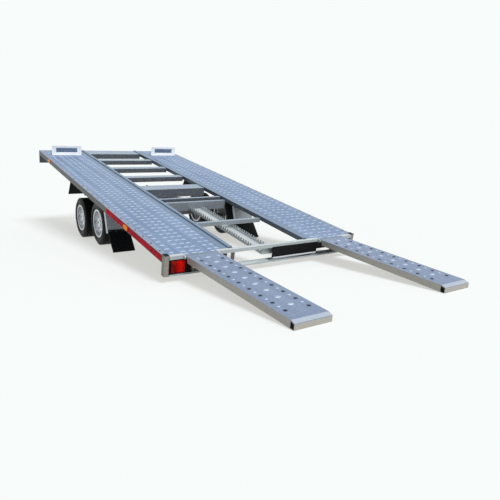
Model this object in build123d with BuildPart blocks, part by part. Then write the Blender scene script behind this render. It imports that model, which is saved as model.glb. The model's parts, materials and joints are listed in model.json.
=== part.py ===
from build123d import *
import math
import os

# Driving dimensions of the car carrier trailer, in millimetres and degrees.
# X runs forward to the coupling, Y to the left, Z up from the ground.

# Tilting bed, measured along its own deck from the rear edge
bed_length = 4550
bed_width = 2150
bed_tilt = 11.56
bed_rear_height = 233
opening_half_width = 410
inner_rail_width = 100
inner_rail_depth = 66
inner_rail_foot = 40
inner_lip_width = 40
inner_lip_height = 10
inner_lip_depth = 30
inner_lip_return = 15
side_rail_flange = 45
side_rail_depth = 66
frame_wall = 4
plank_count = 3
plank_sheet = 3
plank_depth = 46
plank_lip = 15
plank_gap = 0.6
outrigger_length = 50
outrigger_places = (300, 1130, 2140)
outrigger_setbacks = (1300, 760, 220)
lashing_length = 26
lashing_width = 12
lashing_pitch = 183
lashing_first = 152

# Step plank over the opening, a channel with a comb of teeth along each flange
step_width = 150
step_drop = 102
step_rise = 20
step_sheet = 3
step_bar_place = 1530
low_bar_drop = 16
tooth_pitch = 43
tooth_height = 24
tooth_foot = 32
tooth_tip_start = 6
tooth_tip_end = 26

# Cross bars behind the pivot: rear face, length along the deck, top below the deck, depth
rear_bars = (
    (1640, 40, 4, 60),
    (step_bar_place, 40, 20, 100),
    (780, 40, low_bar_drop, step_drop - step_rise - tooth_height - low_bar_drop),
)

# Cross bars ahead of it: rear face behind the nose, length, top below the deck, depth
front_bars = (
    (284, 280, 0, 75),
    (790, 110, 0, 60),
    (1330, 110, 0, 60),
    (1870, 110, 0, 60),
)

# Nose of the bed
nose_plate_depth = 75
nose_corner_depth = 190
nose_corner_width = 150
nose_corner_length = 590

# Pivot on which the bed tilts, and the deep beam that carries it
pivot_height = 510
pivot_drop = 150
pivot_beam_length = 200
pivot_beam_setback = 56
pivot_beam_depth = 102
pivot_side = 360
pivot_pin_radius = 14
pivot_lug_radius = 30
pivot_lug_thickness = 10
pivot_ear_radius = 26
pivot_ear_thickness = 16

# Rear end of the bed
rear_bar_length = 40
rear_bar_depth = 32
rear_foot_length = 74
rear_foot_sheet = 5
rear_foot_lip = 15
post_length = 60
post_depth = 178
post_rise = 4
post_corner = 10
post_wall = 5
upright_sheet = 6
upright_length = 60
upright_gap = 20
upright_inset = 10
lamp_width = 200
lamp_thickness = 30
lamp_inset = 8
lamp_gap = 2
plate_start = 15
plate_height = 100
plate_sheet = 6
plate_drop = 26
plate_rail_inset = 10
plate_rail_radius = 8

# Loading ramps, hooked on bars behind the bed
ramp_length = 1425
ramp_width = 310
ramp_inset = 30
ramp_depth = 57
ramp_sheet = 3
ramp_front = 5
ramp_bevel_drop = 14
ramp_end_tube = 42
ramp_rib_length = 30
ramp_rib_depth = 34
ramp_hole_radius = 11
ramp_hole_first = 166.5
ramp_hole_pitch = 136.5
ramp_hole_side = 97
ramp_hole_margin = 30
rib_hole_count = 3
hook_back = 20
hook_drop = 14
hook_bar_radius = 8
hook_eye_radius = 14
hook_eye_width = 50
hook_eye_side = 112
hook_lug_gap = 6
hook_lug_thickness = 8

# Wheel stops at the front of each track
stop_setback = 400
stop_width = 424
stop_height = 140
stop_gap = 4
stop_board_sheet = 4
stop_tube_radius = 9
stop_leg_inset = 42
stop_foot_length = 110
stop_brace_drop = 28

# Mudguards and flaps: lengths behind the rear wheel or ahead of the front one, depths below the deck
guard_width = 250
guard_flange = 60
rear_guard_sheet = 4
rear_guard_top = 382
rear_guard_foot = (532, 372)
flap_knee = (632, 470)
flap_tip = (710, 540)
flap_sheet = 8
flap_overlap = 30
front_guard_sheet = 8
front_guard_top = 214
front_guard_foot = (394, 362)

# Red strips and orange markers on the sides
strip_length = 1385
strip_height = 52
strip_sheet = 2
marker_length = 90
marker_height = 38
marker_sheet = 12
marker_place = 880
marker_setback = 650

# Wheels on two rubber torsion axles, the rear one ahead of the bed's rear edge
rear_wheel_place = 2222
axle_spacing = 714
tyre_diameter = 516
tyre_width = 190
tread_half_width = 74
tread_shoulder = 14
tyre_outer_side = 939
sidewall_flat = 24
bead_half_width = 78
rim_half_width = 86
rim_seat_radius = 152
rim_flange_radius = 168
rim_well_radius = 128
rim_well_half_width = 36
rim_wall = 5
rim_disc_offset = 30
rim_disc_hub = 78
rim_bore_radius = 34
rim_hole_count = 8
rim_hole_radius = 13
rim_hole_circle = 100
hub_cap_radius = 30
hub_cap_reach = 66
drum_radius = 104
drum_inboard = 56
spindle_radius = 20
spindle_end = 20
arm_length = 155
arm_angle = 22
arm_thickness = 30
arm_boss_radius = 40
arm_foot_radius = 34
backplate_sheet = 5
backplate_gap = 2
axle_beam_size = 70
axle_beam_half = 622
axle_beam_wall = 6
axle_beam_corner = 9
axle_bracket_length = 120

# Chassis under the bed: its ends behind the rear wheel and ahead of it, the drawbar's front end
chassis_side = 500
chassis_width = 60
chassis_height = 80
chassis_bottom = 380
chassis_wall = 4
chassis_rear = 322
chassis_front = 1178
pivot_tube_size = 70
drawbar_front = 5060
rest_bar_setback = 430
rest_bar_size = 60
buffer_radius = 30
buffer_taper = 12

# Overrun unit, ball coupling and hand brake
overrun_rear = 4940
overrun_front = 5330
overrun_width = 108
overrun_height = 96
overrun_corner = 19
overrun_edge = 12
bellows_front = 5470
bellows_radius = 44
bellows_root = 33
bellows_folds = 6
shaft_radius = 25
ball_place = 5650
ball_height = 430
ball_radius = 25
head_radius = 42
head_height = 62
head_below = 25
brake_pivot_place = 5190
brake_lever_length = 430
brake_lever_radius = 13
brake_lever_slope = 118
brake_boss_radius = 39
brake_rise = 24

# Jockey wheel
jockey_place = 5180
jockey_side = 118
jockey_tube_radius = 24
jockey_tube_wall = 4
jockey_sleeve_bottom = 420
jockey_sleeve_top = 860
jockey_stroke = 170
jockey_fork_top = 236
jockey_wheel_radius = 100
jockey_wheel_width = 56
jockey_trail = 45
jockey_fork_sheet = 6
jockey_axle_radius = 8
jockey_fork_back = 38
jockey_fork_depth = 48
crank_radius = 7
crank_reach = 110
crank_grip = 90
crank_grip_radius = 14
crank_boss_radius = 10.5
crank_height = 48

# Tilt cylinder on the left: foot pin ahead of the rear wheel and above the ground, and head pin
cylinder_side = 430
cylinder_foot = (308, 300)
cylinder_head = (528, 150)
cylinder_radius = 28
cylinder_wall = 5
cylinder_start = 30
cylinder_length = 228
gland_length = 14
piston_length = 24
piston_place = 142
rod_radius = 11
cylinder_eye_radius = 22
cylinder_eye_thickness = 24
cylinder_pin_radius = 10
rod_eye_play = 3
cylinder_lug_sheet = 6
cylinder_bracket_sheet = 10

# Clearances
pin_clearance = 0.3
seat_gap = 0.3
side_play = 2
moving_gap = 6


class Axes:
    """Local axes of a sub-assembly: u forward, v to the left, w up, turned nose up by a slope."""

    def __init__(self, x, z, slope):
        turn = math.radians(slope)
        self.origin = Vector(x, 0, z)
        self.u = Vector(math.cos(turn), 0, math.sin(turn))
        self.v = Vector(0, 1, 0)
        self.w = Vector(-math.sin(turn), 0, math.cos(turn))

    def point(self, u, v, w):
        return self.origin + self.u * u + self.v * v + self.w * w

    def plan(self, w, u=0, v=0):
        """Sketch plane seen from above: x is u, y is v, extruded up."""
        return Plane(origin=self.point(u, v, w), x_dir=self.u, z_dir=self.w)

    def section(self, u, v=0, w=0):
        """Sketch plane across the length: x is v, y is w, extruded forward."""
        return Plane(origin=self.point(u, v, w), x_dir=self.v, z_dir=self.u)

    def side(self, v, u=0, w=0):
        """Sketch plane along the length: x is u, y is w, extruded to the right."""
        return Plane(origin=self.point(u, v, w), x_dir=self.u, z_dir=-self.v)


def corner_box(first, second, mode=Mode.ADD):
    """Rectangle between two opposite corners, in the open sketch."""
    with Locations(((first[0] + second[0]) / 2, (first[1] + second[1]) / 2)):
        Rectangle(abs(second[0] - first[0]), abs(second[1] - first[1]), mode=mode)


def outline(*points):
    """Closed straight-sided face, in the open sketch."""
    Polygon(*points, align=None)


def bar_channel(rear, length, top, depth, wall):
    """Inverted U seen from the side: a flat top with two legs, in the open sketch."""
    corner_box((rear, top - wall), (rear + length, top))
    corner_box((rear, top - depth), (rear + wall, top))
    corner_box((rear + length - wall, top - depth), (rear + length, top))


SIDES = (("left", 1), ("right", -1))
os.makedirs("parts", exist_ok=True)

# The ramp's lowest rear edge rests on the ground, which sets its slope.
tilt = math.radians(bed_tilt)
hook_x = -hook_back * math.cos(tilt) + hook_drop * math.sin(tilt)
hook_z = bed_rear_height - hook_back * math.sin(tilt) - hook_drop * math.cos(tilt)
ramp_below_hook = ramp_depth - hook_drop
ramp_turn = math.asin(hook_z / math.hypot(ramp_length, ramp_below_hook)) - math.atan(
    ramp_below_hook / ramp_length
)
ramp_end_top = hook_drop - ramp_bevel_drop
ramp_tip_x = hook_x - ramp_length * math.cos(ramp_turn) - ramp_end_top * math.sin(ramp_turn)

# The origin is on the ground, midway between the ramp tips and the coupling's nose.
rear_x = -(ball_place + head_radius + ramp_tip_x) / 2
bed = Axes(rear_x, bed_rear_height, bed_tilt)
ground = Axes(rear_x, 0, 0)
ramp = Axes(rear_x + hook_x, hook_z, math.degrees(ramp_turn))

pivot_place = ((pivot_height - bed_rear_height) * math.cos(tilt) + pivot_drop) / math.sin(tilt)
pivot_u = pivot_place * math.cos(tilt) + (pivot_height - bed_rear_height) * math.sin(tilt)
deck_level = pivot_height + pivot_drop
half_width = bed_width / 2
rail_end = bed_length - frame_wall
track_inner = opening_half_width + inner_rail_width
track_outer = half_width - side_rail_flange
track_middle = (track_inner + track_outer) / 2
ramp_side = track_middle - ramp_inset
front_wheel_place = rear_wheel_place + axle_spacing
wheel_places = (("front", front_wheel_place), ("rear", rear_wheel_place))
wheel_radius = tyre_diameter / 2
drawbar_side = (overrun_width + chassis_width) / 2 + seat_gap
wheel_side = tyre_outer_side - tyre_width / 2
arm_reach = arm_length * math.cos(math.radians(arm_angle))
arm_drop = arm_length * math.sin(math.radians(arm_angle))
chassis_top = chassis_bottom + chassis_height
chassis_rear_end = rear_wheel_place - chassis_rear
chassis_front_end = rear_wheel_place + chassis_front

# Side rails: channels open inwards, from the corner posts to the nose plate, with lashing slots
for name, side in SIDES:
    with BuildPart() as side_rail:
        with BuildSketch(bed.section(post_length)):
            outer = side * half_width
            inner = side * track_outer
            corner_box((outer, -side_rail_depth), (outer - side * frame_wall, 0))
            corner_box((outer, -frame_wall), (inner, 0))
            corner_box((outer, -side_rail_depth), (inner, frame_wall - side_rail_depth))
        extrude(amount=rail_end - post_length)
        with BuildSketch(bed.plan(-frame_wall)):
            for index in range(int((rail_end - lashing_first) / lashing_pitch)):
                place = lashing_first + index * lashing_pitch
                with Locations((place, side * (half_width + track_outer) / 2)):
                    Rectangle(lashing_length, lashing_width)
        extrude(amount=frame_wall, mode=Mode.SUBTRACT)
    side_rail.part.label = f"side_rail_{name}"
    export_step(side_rail.part, f"parts/side_rail_{name}.step")

# Inner rails: a raised lip along the opening, a smooth band beside it and a web below the band
for name, side in SIDES:
    with BuildPart() as inner_rail:
        with BuildSketch(bed.section(rear_bar_length)):
            lip = side * opening_half_width
            ridge = lip + side * inner_lip_width
            web = side * track_inner
            lip_foot = lip + side * inner_lip_return
            web_foot = web - side * inner_rail_foot
            corner_box((lip, -inner_lip_depth), (lip + side * frame_wall, inner_lip_height))
            corner_box((lip, -inner_lip_depth), (lip_foot, frame_wall - inner_lip_depth))
            corner_box((lip, inner_lip_height - frame_wall), (ridge, inner_lip_height))
            corner_box((ridge - side * frame_wall, -frame_wall), (ridge, inner_lip_height))
            corner_box((ridge - side * frame_wall, -frame_wall), (web, 0))
            corner_box((web - side * frame_wall, -inner_rail_depth), (web, 0))
            corner_box((web_foot, -inner_rail_depth), (web, frame_wall - inner_rail_depth))
        extrude(amount=rail_end - rear_bar_length)
    inner_rail.part.label = f"inner_rail_{name}"
    export_step(inner_rail.part, f"parts/inner_rail_{name}.step")

# Deck planks: folded sheets side by side between the two rails of a track
plank_width = (track_outer - track_inner - (plank_count + 1) * plank_gap) / plank_count
for name, side in SIDES:
    with BuildPart() as deck:
        with BuildSketch(bed.section(rear_bar_length)):
            for index in range(plank_count):
                start = side * (track_inner + plank_gap + index * (plank_width + plank_gap))
                end = start + side * plank_width
                corner_box((start, -plank_sheet), (end, 0))
                for edge, way in ((start, side), (end, -side)):
                    corner_box((edge, -plank_depth), (edge + way * plank_sheet, 0))
                    corner_box(
                        (edge, -plank_depth),
                        (edge + way * plank_lip, plank_sheet - plank_depth),
                    )
        extrude(amount=rail_end - rear_bar_length)
    deck.part.label = f"deck_{name}"
    export_step(deck.part, f"parts/deck_{name}.step")

# Outriggers under the planks, from the inner rail's web to the side rail's lower flange
outrigger_bottom = frame_wall - side_rail_depth
with BuildPart() as outriggers:
    for _, side in SIDES:
        with BuildSketch(bed.side(side * track_inner)):
            for place in outrigger_places + tuple(bed_length - setback for setback in outrigger_setbacks):
                corner_box((place, outrigger_bottom), (place + outrigger_length, -plank_depth))
        extrude(amount=-side * (half_width - track_inner - frame_wall))
outriggers.part.label = "outriggers"
export_step(outriggers.part, "parts/outriggers.step")

# Cross bars between the inner rails
with BuildPart() as cross_members:
    with BuildSketch(bed.side(opening_half_width)):
        for place, length, drop, depth in rear_bars:
            bar_channel(place, length, -drop, depth, frame_wall)
        for setback, length, drop, depth in front_bars:
            bar_channel(bed_length - setback, length, -drop, depth, frame_wall)
    extrude(amount=2 * opening_half_width)
cross_members.part.label = "cross_members"
export_step(cross_members.part, "parts/cross_members.step")

# End plate at the nose, with its deep corners
with BuildPart() as nose_plate:
    with BuildSketch(bed.section(rail_end)):
        corner_box((-half_width, -nose_plate_depth), (half_width, 0))
        for _, side in SIDES:
            edge = side * half_width
            corner_box((edge, -nose_corner_depth), (edge - side * nose_corner_width, 0))
    extrude(amount=frame_wall)
    for _, side in SIDES:
        with BuildSketch(bed.side(side * half_width)):
            outline(
                (rail_end, -side_rail_depth),
                (rail_end - nose_corner_length, -side_rail_depth),
                (rail_end, -nose_corner_depth),
            )
        extrude(amount=side * frame_wall)
nose_plate.part.label = "nose_plate"
export_step(nose_plate.part, "parts/nose_plate.step")

# Deep beam that carries the bed on its pivot pins, with a pair of lugs at each side
pivot_lug_start = pivot_ear_thickness / 2 + side_play
pivot_lug_end = pivot_lug_start + pivot_lug_thickness
with BuildPart() as pivot_beam:
    beam_rear = pivot_u - pivot_beam_setback
    with BuildSketch(bed.side(opening_half_width)):
        corner_box((beam_rear, -pivot_beam_depth), (beam_rear + pivot_beam_length, 0))
        corner_box(
            (beam_rear + frame_wall, frame_wall - pivot_beam_depth),
            (beam_rear + pivot_beam_length - frame_wall, -frame_wall),
            mode=Mode.SUBTRACT,
        )
    extrude(amount=2 * opening_half_width)
    for _, side in SIDES:
        for face in (pivot_lug_end, -pivot_lug_start):
            with BuildSketch(bed.side(side * pivot_side + face, pivot_u, -pivot_drop)):
                Circle(pivot_lug_radius)
                corner_box((-pivot_lug_radius, 0), (pivot_lug_radius, pivot_drop - pivot_beam_depth))
            extrude(amount=pivot_lug_thickness)
        with BuildSketch(bed.side(side * pivot_side + pivot_lug_end, pivot_u, -pivot_drop)):
            Circle(pivot_pin_radius)
        extrude(amount=2 * pivot_lug_end)
pivot_beam.part.label = "pivot_beam"
export_step(pivot_beam.part, "parts/pivot_beam.step")

# Rear end: a top bar with the hook bars of the ramps, and a foot plate
hook_lug_inner = ramp_width / 2 + hook_lug_gap
hook_lug_outer = hook_lug_inner + hook_lug_thickness
with BuildPart() as rear_bar:
    with BuildSketch(bed.side(track_outer)):
        corner_box((0, -rear_bar_depth), (rear_bar_length, 0))
        corner_box(
            (frame_wall, frame_wall - rear_bar_depth),
            (rear_bar_length - frame_wall, -frame_wall),
            mode=Mode.SUBTRACT,
        )
    extrude(amount=2 * track_outer)
    for _, side in SIDES:
        middle = side * ramp_side
        for face in (hook_lug_outer, -hook_lug_inner):
            with BuildSketch(bed.side(middle + face, -hook_back, -hook_drop)):
                Circle(hook_eye_radius)
                corner_box((0, -hook_eye_radius), (hook_back, hook_eye_radius))
            extrude(amount=hook_lug_thickness)
        with BuildSketch(bed.side(middle + hook_lug_outer, -hook_back, -hook_drop)):
            Circle(hook_bar_radius)
        extrude(amount=2 * hook_lug_outer)
rear_bar.part.label = "rear_bar"
export_step(rear_bar.part, "parts/rear_bar.step")

rear_foot_top = rear_foot_sheet - post_depth
with BuildPart() as rear_foot:
    with BuildSketch(bed.side(track_outer)):
        corner_box((0, -post_depth), (rear_foot_length, rear_foot_top))
        corner_box((0, -post_depth), (rear_foot_sheet, rear_foot_lip - post_depth))
        corner_box(
            (rear_foot_length - rear_foot_sheet, -post_depth),
            (rear_foot_length, rear_foot_lip - post_depth),
        )
    extrude(amount=2 * track_outer)
rear_foot.part.label = "rear_foot"
export_step(rear_foot.part, "parts/rear_foot.step")

# Hollow corner posts with rounded edges, and the plates that carry the foot
with BuildPart() as rear_uprights:
    for _, side in SIDES:
        with BuildSketch(bed.plan(-post_depth, post_length / 2, side * (half_width + track_outer) / 2)):
            RectangleRounded(post_length, side_rail_flange, post_corner)
            RectangleRounded(
                post_length - 2 * post_wall,
                side_rail_flange - 2 * post_wall,
                post_corner - post_wall,
                mode=Mode.SUBTRACT,
            )
        extrude(amount=post_depth + post_rise)
        for place in (track_outer - lamp_width - upright_gap, opening_half_width - upright_inset):
            with BuildSketch(bed.side(side * place + upright_sheet / 2)):
                corner_box((rear_foot_sheet, rear_foot_top), (upright_length, -rear_bar_depth))
            extrude(amount=upright_sheet)
rear_uprights.part.label = "rear_uprights"
export_step(rear_uprights.part, "parts/rear_uprights.step")

# Recessed tail lamps between the corner posts and the outer uprights
lamp_height = -rear_bar_depth - lamp_gap - (rear_foot_lip - post_depth) - lamp_gap
lamp_middle = track_outer - seat_gap - lamp_width / 2
lamp_w = -rear_bar_depth - lamp_gap - lamp_height / 2
with BuildPart() as tail_lamps:
    for _, side in SIDES:
        with BuildSketch(bed.section(lamp_inset, side * lamp_middle, lamp_w)):
            RectangleRounded(lamp_width, lamp_height, post_corner)
        extrude(amount=lamp_thickness)
tail_lamps.part.label = "tail_lamps"
export_step(tail_lamps.part, "parts/tail_lamps.step")

# Blank number panel between the middle and the right ramp's hooks, and the round rail below it
plate_width = ramp_side - hook_lug_outer - hook_lug_gap - plate_start
plate_middle = -plate_start - plate_width / 2
plate_rail_length = plate_width - 2 * plate_rail_inset
with BuildPart() as plate_panel:
    with BuildSketch(bed.section(-plate_sheet, plate_middle, -plate_drop - plate_height / 2)):
        RectangleRounded(plate_width, plate_height, post_corner)
    extrude(amount=plate_sheet)
plate_panel.part.label = "plate_panel"
export_step(plate_panel.part, "parts/plate_panel.step")

rail_w = -plate_drop - plate_height - seat_gap - plate_rail_radius
with BuildPart() as plate_rail:
    with BuildSketch(bed.side(plate_middle + plate_rail_length / 2, -plate_rail_radius, rail_w)):
        Circle(plate_rail_radius)
    extrude(amount=plate_rail_length)
plate_rail.part.label = "plate_rail"
export_step(plate_rail.part, "parts/plate_rail.step")

# Step plank over the opening, hung on the rear bar and below the low bar, up to the step bar
step_length = step_bar_place - rear_bar_length
with BuildPart() as step_plank:
    with BuildSketch(bed.section(rear_bar_length)):
        corner_box((-step_width / 2, -step_drop - step_sheet), (step_width / 2, -step_drop))
        for _, side in SIDES:
            edge = side * step_width / 2
            corner_box((edge, -step_drop), (edge - side * step_sheet, step_rise - step_drop))
    extrude(amount=step_length)
    with BuildSketch(bed.side(step_width / 2)):
        corner_box(
            (rear_bar_length, -step_drop - step_sheet),
            (rear_bar_length + step_sheet, -frame_wall),
        )
    extrude(amount=step_width)
    with BuildSketch(bed.side(step_width / 2)) as teeth:
        for index in range(int(step_length / tooth_pitch)):
            start = rear_bar_length + index * tooth_pitch
            root = step_rise - step_drop
            outline(
                (start, root),
                (start + tooth_foot, root),
                (start + tooth_tip_end, root + tooth_height),
                (start + tooth_tip_start, root + tooth_height),
            )
    extrude(amount=step_sheet)
    with BuildSketch(bed.side(step_sheet - step_width / 2)):
        add(teeth.sketch_local)
    extrude(amount=step_sheet)
step_plank.part.label = "step_plank"
export_step(step_plank.part, "parts/step_plank.step")

# Wheel stops: boards on braced tubes that stand on the tracks
stop_place = bed_length - stop_setback
stop_leg_side = stop_width / 2 - stop_leg_inset
with BuildPart() as stop_boards:
    for _, side in SIDES:
        with BuildSketch(bed.section(stop_place, side * track_middle, stop_gap + stop_height / 2)):
            RectangleRounded(stop_width, stop_height, post_corner)
        extrude(amount=stop_board_sheet)
stop_boards.part.label = "stop_boards"
export_step(stop_boards.part, "parts/stop_boards.step")

stop_tube_place = stop_place + stop_board_sheet + stop_tube_radius
with BuildPart() as stop_frames:
    for _, side in SIDES:
        for leg in (stop_leg_side, -stop_leg_side):
            with BuildSketch(bed.plan(0, stop_tube_place, side * track_middle + leg)):
                Circle(stop_tube_radius)
            extrude(amount=stop_height)
            with BuildSketch(bed.side(side * track_middle + leg + stop_tube_radius / 2)):
                outline(
                    (stop_tube_place, 0),
                    (stop_tube_place + stop_foot_length, 0),
                    (stop_tube_place, stop_height - stop_brace_drop),
                )
            extrude(amount=stop_tube_radius)
stop_frames.part.label = "stop_frames"
export_step(stop_frames.part, "parts/stop_frames.step")

# Rear mudguards: folded sheets that lean back from the deck, with rubber flaps below
guard_top_u = rear_wheel_place - rear_guard_top
guard_foot_u = rear_wheel_place - rear_guard_foot[0]
guard_foot_w = -rear_guard_foot[1]
with BuildPart() as rear_guards:
    for _, side in SIDES:
        with BuildSketch(bed.side(side * wheel_side + guard_width / 2)):
            outline(
                (guard_top_u + guard_flange, -plank_depth),
                (guard_top_u, -plank_depth),
                (guard_foot_u, guard_foot_w),
                (guard_foot_u + rear_guard_sheet, guard_foot_w),
                (guard_top_u + rear_guard_sheet, -plank_depth - rear_guard_sheet),
                (guard_top_u + guard_flange, -plank_depth - rear_guard_sheet),
            )
        extrude(amount=guard_width)
rear_guards.part.label = "rear_guards"
export_step(rear_guards.part, "parts/rear_guards.step")

with BuildPart() as mud_flaps:
    guard_run = guard_top_u - guard_foot_u
    guard_fall = -plank_depth - guard_foot_w
    hang_u = guard_foot_u + flap_overlap * guard_run / guard_fall - seat_gap
    hang_w = guard_foot_w + flap_overlap
    knee_u = rear_wheel_place - flap_knee[0]
    knee_w = -flap_knee[1]
    tip_u = rear_wheel_place - flap_tip[0]
    tip_w = -flap_tip[1]
    for _, side in SIDES:
        with BuildSketch(bed.side(side * wheel_side + guard_width / 2)):
            outline(
                (hang_u, hang_w),
                (hang_u - flap_sheet, hang_w),
                (guard_foot_u - seat_gap - flap_sheet, guard_foot_w),
                (knee_u - flap_sheet, knee_w + flap_sheet / 2),
                (tip_u, tip_w + flap_sheet),
                (tip_u, tip_w),
                (knee_u, knee_w - flap_sheet / 2),
                (guard_foot_u - seat_gap, guard_foot_w),
            )
        extrude(amount=guard_width)
mud_flaps.part.label = "mud_flaps"
export_step(mud_flaps.part, "parts/mud_flaps.step")

with BuildPart() as front_guards:
    front_top_u = front_wheel_place + front_guard_top
    front_foot_u = front_wheel_place + front_guard_foot[0]
    front_foot_w = -front_guard_foot[1]
    for _, side in SIDES:
        with BuildSketch(bed.side(side * wheel_side + guard_width / 2)):
            outline(
                (front_top_u - guard_flange, -plank_depth),
                (front_top_u, -plank_depth),
                (front_foot_u, front_foot_w),
                (front_foot_u - front_guard_sheet, front_foot_w),
                (front_top_u - front_guard_sheet, -plank_depth - front_guard_sheet),
                (front_top_u - guard_flange, -plank_depth - front_guard_sheet),
            )
        extrude(amount=guard_width)
front_guards.part.label = "front_guards"
export_step(front_guards.part, "parts/front_guards.step")

# Red strips and orange markers on the side rails
with BuildPart() as red_strips:
    for _, side in SIDES:
        with BuildSketch(bed.side(side * half_width)):
            corner_box(
                (post_length, -side_rail_depth / 2 - strip_height / 2),
                (post_length + strip_length, -side_rail_depth / 2 + strip_height / 2),
            )
        extrude(amount=-side * strip_sheet)
red_strips.part.label = "red_strips"
export_step(red_strips.part, "parts/red_strips.step")

with BuildPart() as side_markers:
    for _, side in SIDES:
        for place in (marker_place, bed_length - marker_setback):
            start = strip_sheet if place < post_length + strip_length else 0
            with BuildSketch(bed.side(side * (half_width + start), place, -side_rail_depth / 2)):
                RectangleRounded(marker_length, marker_height, post_corner)
            extrude(amount=-side * (marker_sheet - start))
side_markers.part.label = "side_markers"
export_step(side_markers.part, "parts/side_markers.step")

# Ramps: a plate with folded sides, ribs, hook eyes, and a bevelled tube with open ends at the tip
ramp_top = hook_drop
ramp_bottom = hook_drop - ramp_depth
tube_u = ramp_end_tube - ramp_length
tip_top = ramp_top - ramp_bevel_drop
hole_run = ramp_length - ramp_end_tube - ramp_hole_margin - ramp_hole_first
hole_count = 1 + int(hole_run / ramp_hole_pitch)
for name, side in SIDES:
    middle = side * ramp_side
    with BuildPart() as loading_ramp:
        with BuildSketch(ramp.side(middle + ramp_width / 2)):
            corner_box((ramp_front, ramp_top), (tube_u, ramp_top - ramp_sheet))
            for index in range(1, hole_count - 1, rib_hole_count):
                rib_middle = -ramp_hole_first - (index + 1 / 2) * ramp_hole_pitch
                rib_rear = rib_middle - ramp_rib_length / 2
                bar_channel(rib_rear, ramp_rib_length, ramp_top, ramp_rib_depth, ramp_sheet)
        extrude(amount=ramp_width)
        for face in (ramp_width / 2, ramp_sheet - ramp_width / 2):
            with BuildSketch(ramp.side(middle + face)):
                outline(
                    (-hook_eye_radius, ramp_top),
                    (tube_u, ramp_top),
                    (tube_u, ramp_bottom),
                    (-2 * hook_eye_radius, ramp_bottom),
                )
            extrude(amount=ramp_sheet)
        with BuildSketch(ramp.side(middle + ramp_width / 2)):
            outline(
                (-ramp_length, ramp_bottom),
                (tube_u, ramp_bottom),
                (tube_u, ramp_top),
                (-ramp_length, tip_top),
            )
        extrude(amount=ramp_width)
        with BuildSketch(ramp.side(middle + ramp_width / 2)):
            outline(
                (ramp_sheet - ramp_length, ramp_bottom + ramp_sheet),
                (tube_u - ramp_sheet, ramp_bottom + ramp_sheet),
                (tube_u - ramp_sheet, ramp_top - 2 * ramp_sheet),
                (ramp_sheet - ramp_length, tip_top - ramp_sheet),
            )
        extrude(amount=ramp_width, mode=Mode.SUBTRACT)
        for way in (1, -1):
            eye_middle = middle + way * hook_eye_side
            with BuildSketch(ramp.side(eye_middle + hook_eye_width / 2)):
                Circle(hook_eye_radius)
                corner_box((-2 * hook_eye_radius, 0), (0, hook_eye_radius))
                Circle(hook_bar_radius + pin_clearance, mode=Mode.SUBTRACT)
            extrude(amount=hook_eye_width)
        with BuildSketch(ramp.plan(ramp_top - ramp_sheet)):
            for index in range(hole_count):
                for way in (1, -1):
                    place = -ramp_hole_first - index * ramp_hole_pitch
                    with Locations((place, middle + way * ramp_hole_side)):
                        Circle(ramp_hole_radius)
        extrude(amount=ramp_sheet, mode=Mode.SUBTRACT)
    loading_ramp.part.label = f"ramp_{name}"
    export_step(loading_ramp.part, f"parts/ramp_{name}.step")

# Chassis rails and the two legs of the drawbar
for name, side in SIDES:
    with BuildPart() as chassis_rail:
        rail_middle = chassis_bottom + chassis_height / 2
        with BuildSketch(ground.section(chassis_rear_end, side * chassis_side, rail_middle)):
            Rectangle(chassis_width, chassis_height)
            Rectangle(
                chassis_width - 2 * chassis_wall,
                chassis_height - 2 * chassis_wall,
                mode=Mode.SUBTRACT,
            )
        extrude(amount=chassis_front_end - chassis_rear_end)
    chassis_rail.part.label = f"chassis_rail_{name}"
    export_step(chassis_rail.part, f"parts/chassis_rail_{name}.step")

for name, side in SIDES:
    with BuildPart() as drawbar_leg:
        outer_rear = side * (chassis_side + chassis_width / 2)
        inner_rear = side * (chassis_side - chassis_width / 2)
        outer_front = side * (drawbar_side + chassis_width / 2)
        inner_front = side * (drawbar_side - chassis_width / 2)
        with BuildSketch(ground.plan(chassis_bottom)):
            outline(
                (chassis_front_end, outer_rear),
                (drawbar_front, outer_front),
                (drawbar_front, inner_front),
                (chassis_front_end, inner_rear),
            )
        extrude(amount=chassis_height)
        with BuildSketch(ground.plan(chassis_bottom + chassis_wall)):
            wall = side * chassis_wall
            outline(
                (chassis_front_end, outer_rear - wall),
                (drawbar_front, outer_front - wall),
                (drawbar_front, inner_front + wall),
                (chassis_front_end, inner_rear + wall),
            )
        extrude(amount=chassis_height - 2 * chassis_wall, mode=Mode.SUBTRACT)
    drawbar_leg.part.label = f"drawbar_{name}"
    export_step(drawbar_leg.part, f"parts/drawbar_{name}.step")

# Rear cross tube with the pivot ears, and the cross tube where the drawbar begins
chassis_inner = chassis_side - chassis_width / 2
with BuildPart() as pivot_tube:
    tube_top = chassis_bottom + pivot_tube_size
    with BuildSketch(ground.side(chassis_inner, pivot_place, chassis_bottom + pivot_tube_size / 2)):
        Rectangle(pivot_tube_size, pivot_tube_size)
        Rectangle(
            pivot_tube_size - 2 * chassis_wall,
            pivot_tube_size - 2 * chassis_wall,
            mode=Mode.SUBTRACT,
        )
    extrude(amount=2 * chassis_inner)
    for _, side in SIDES:
        face = side * pivot_side + pivot_ear_thickness / 2
        with BuildSketch(ground.side(face, pivot_place, pivot_height)):
            Circle(pivot_ear_radius)
            corner_box((-pivot_ear_radius, tube_top - pivot_height), (pivot_ear_radius, 0))
            Circle(pivot_pin_radius + pin_clearance, mode=Mode.SUBTRACT)
        extrude(amount=pivot_ear_thickness)
pivot_tube.part.label = "pivot_tube"
export_step(pivot_tube.part, "parts/pivot_tube.step")

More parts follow.
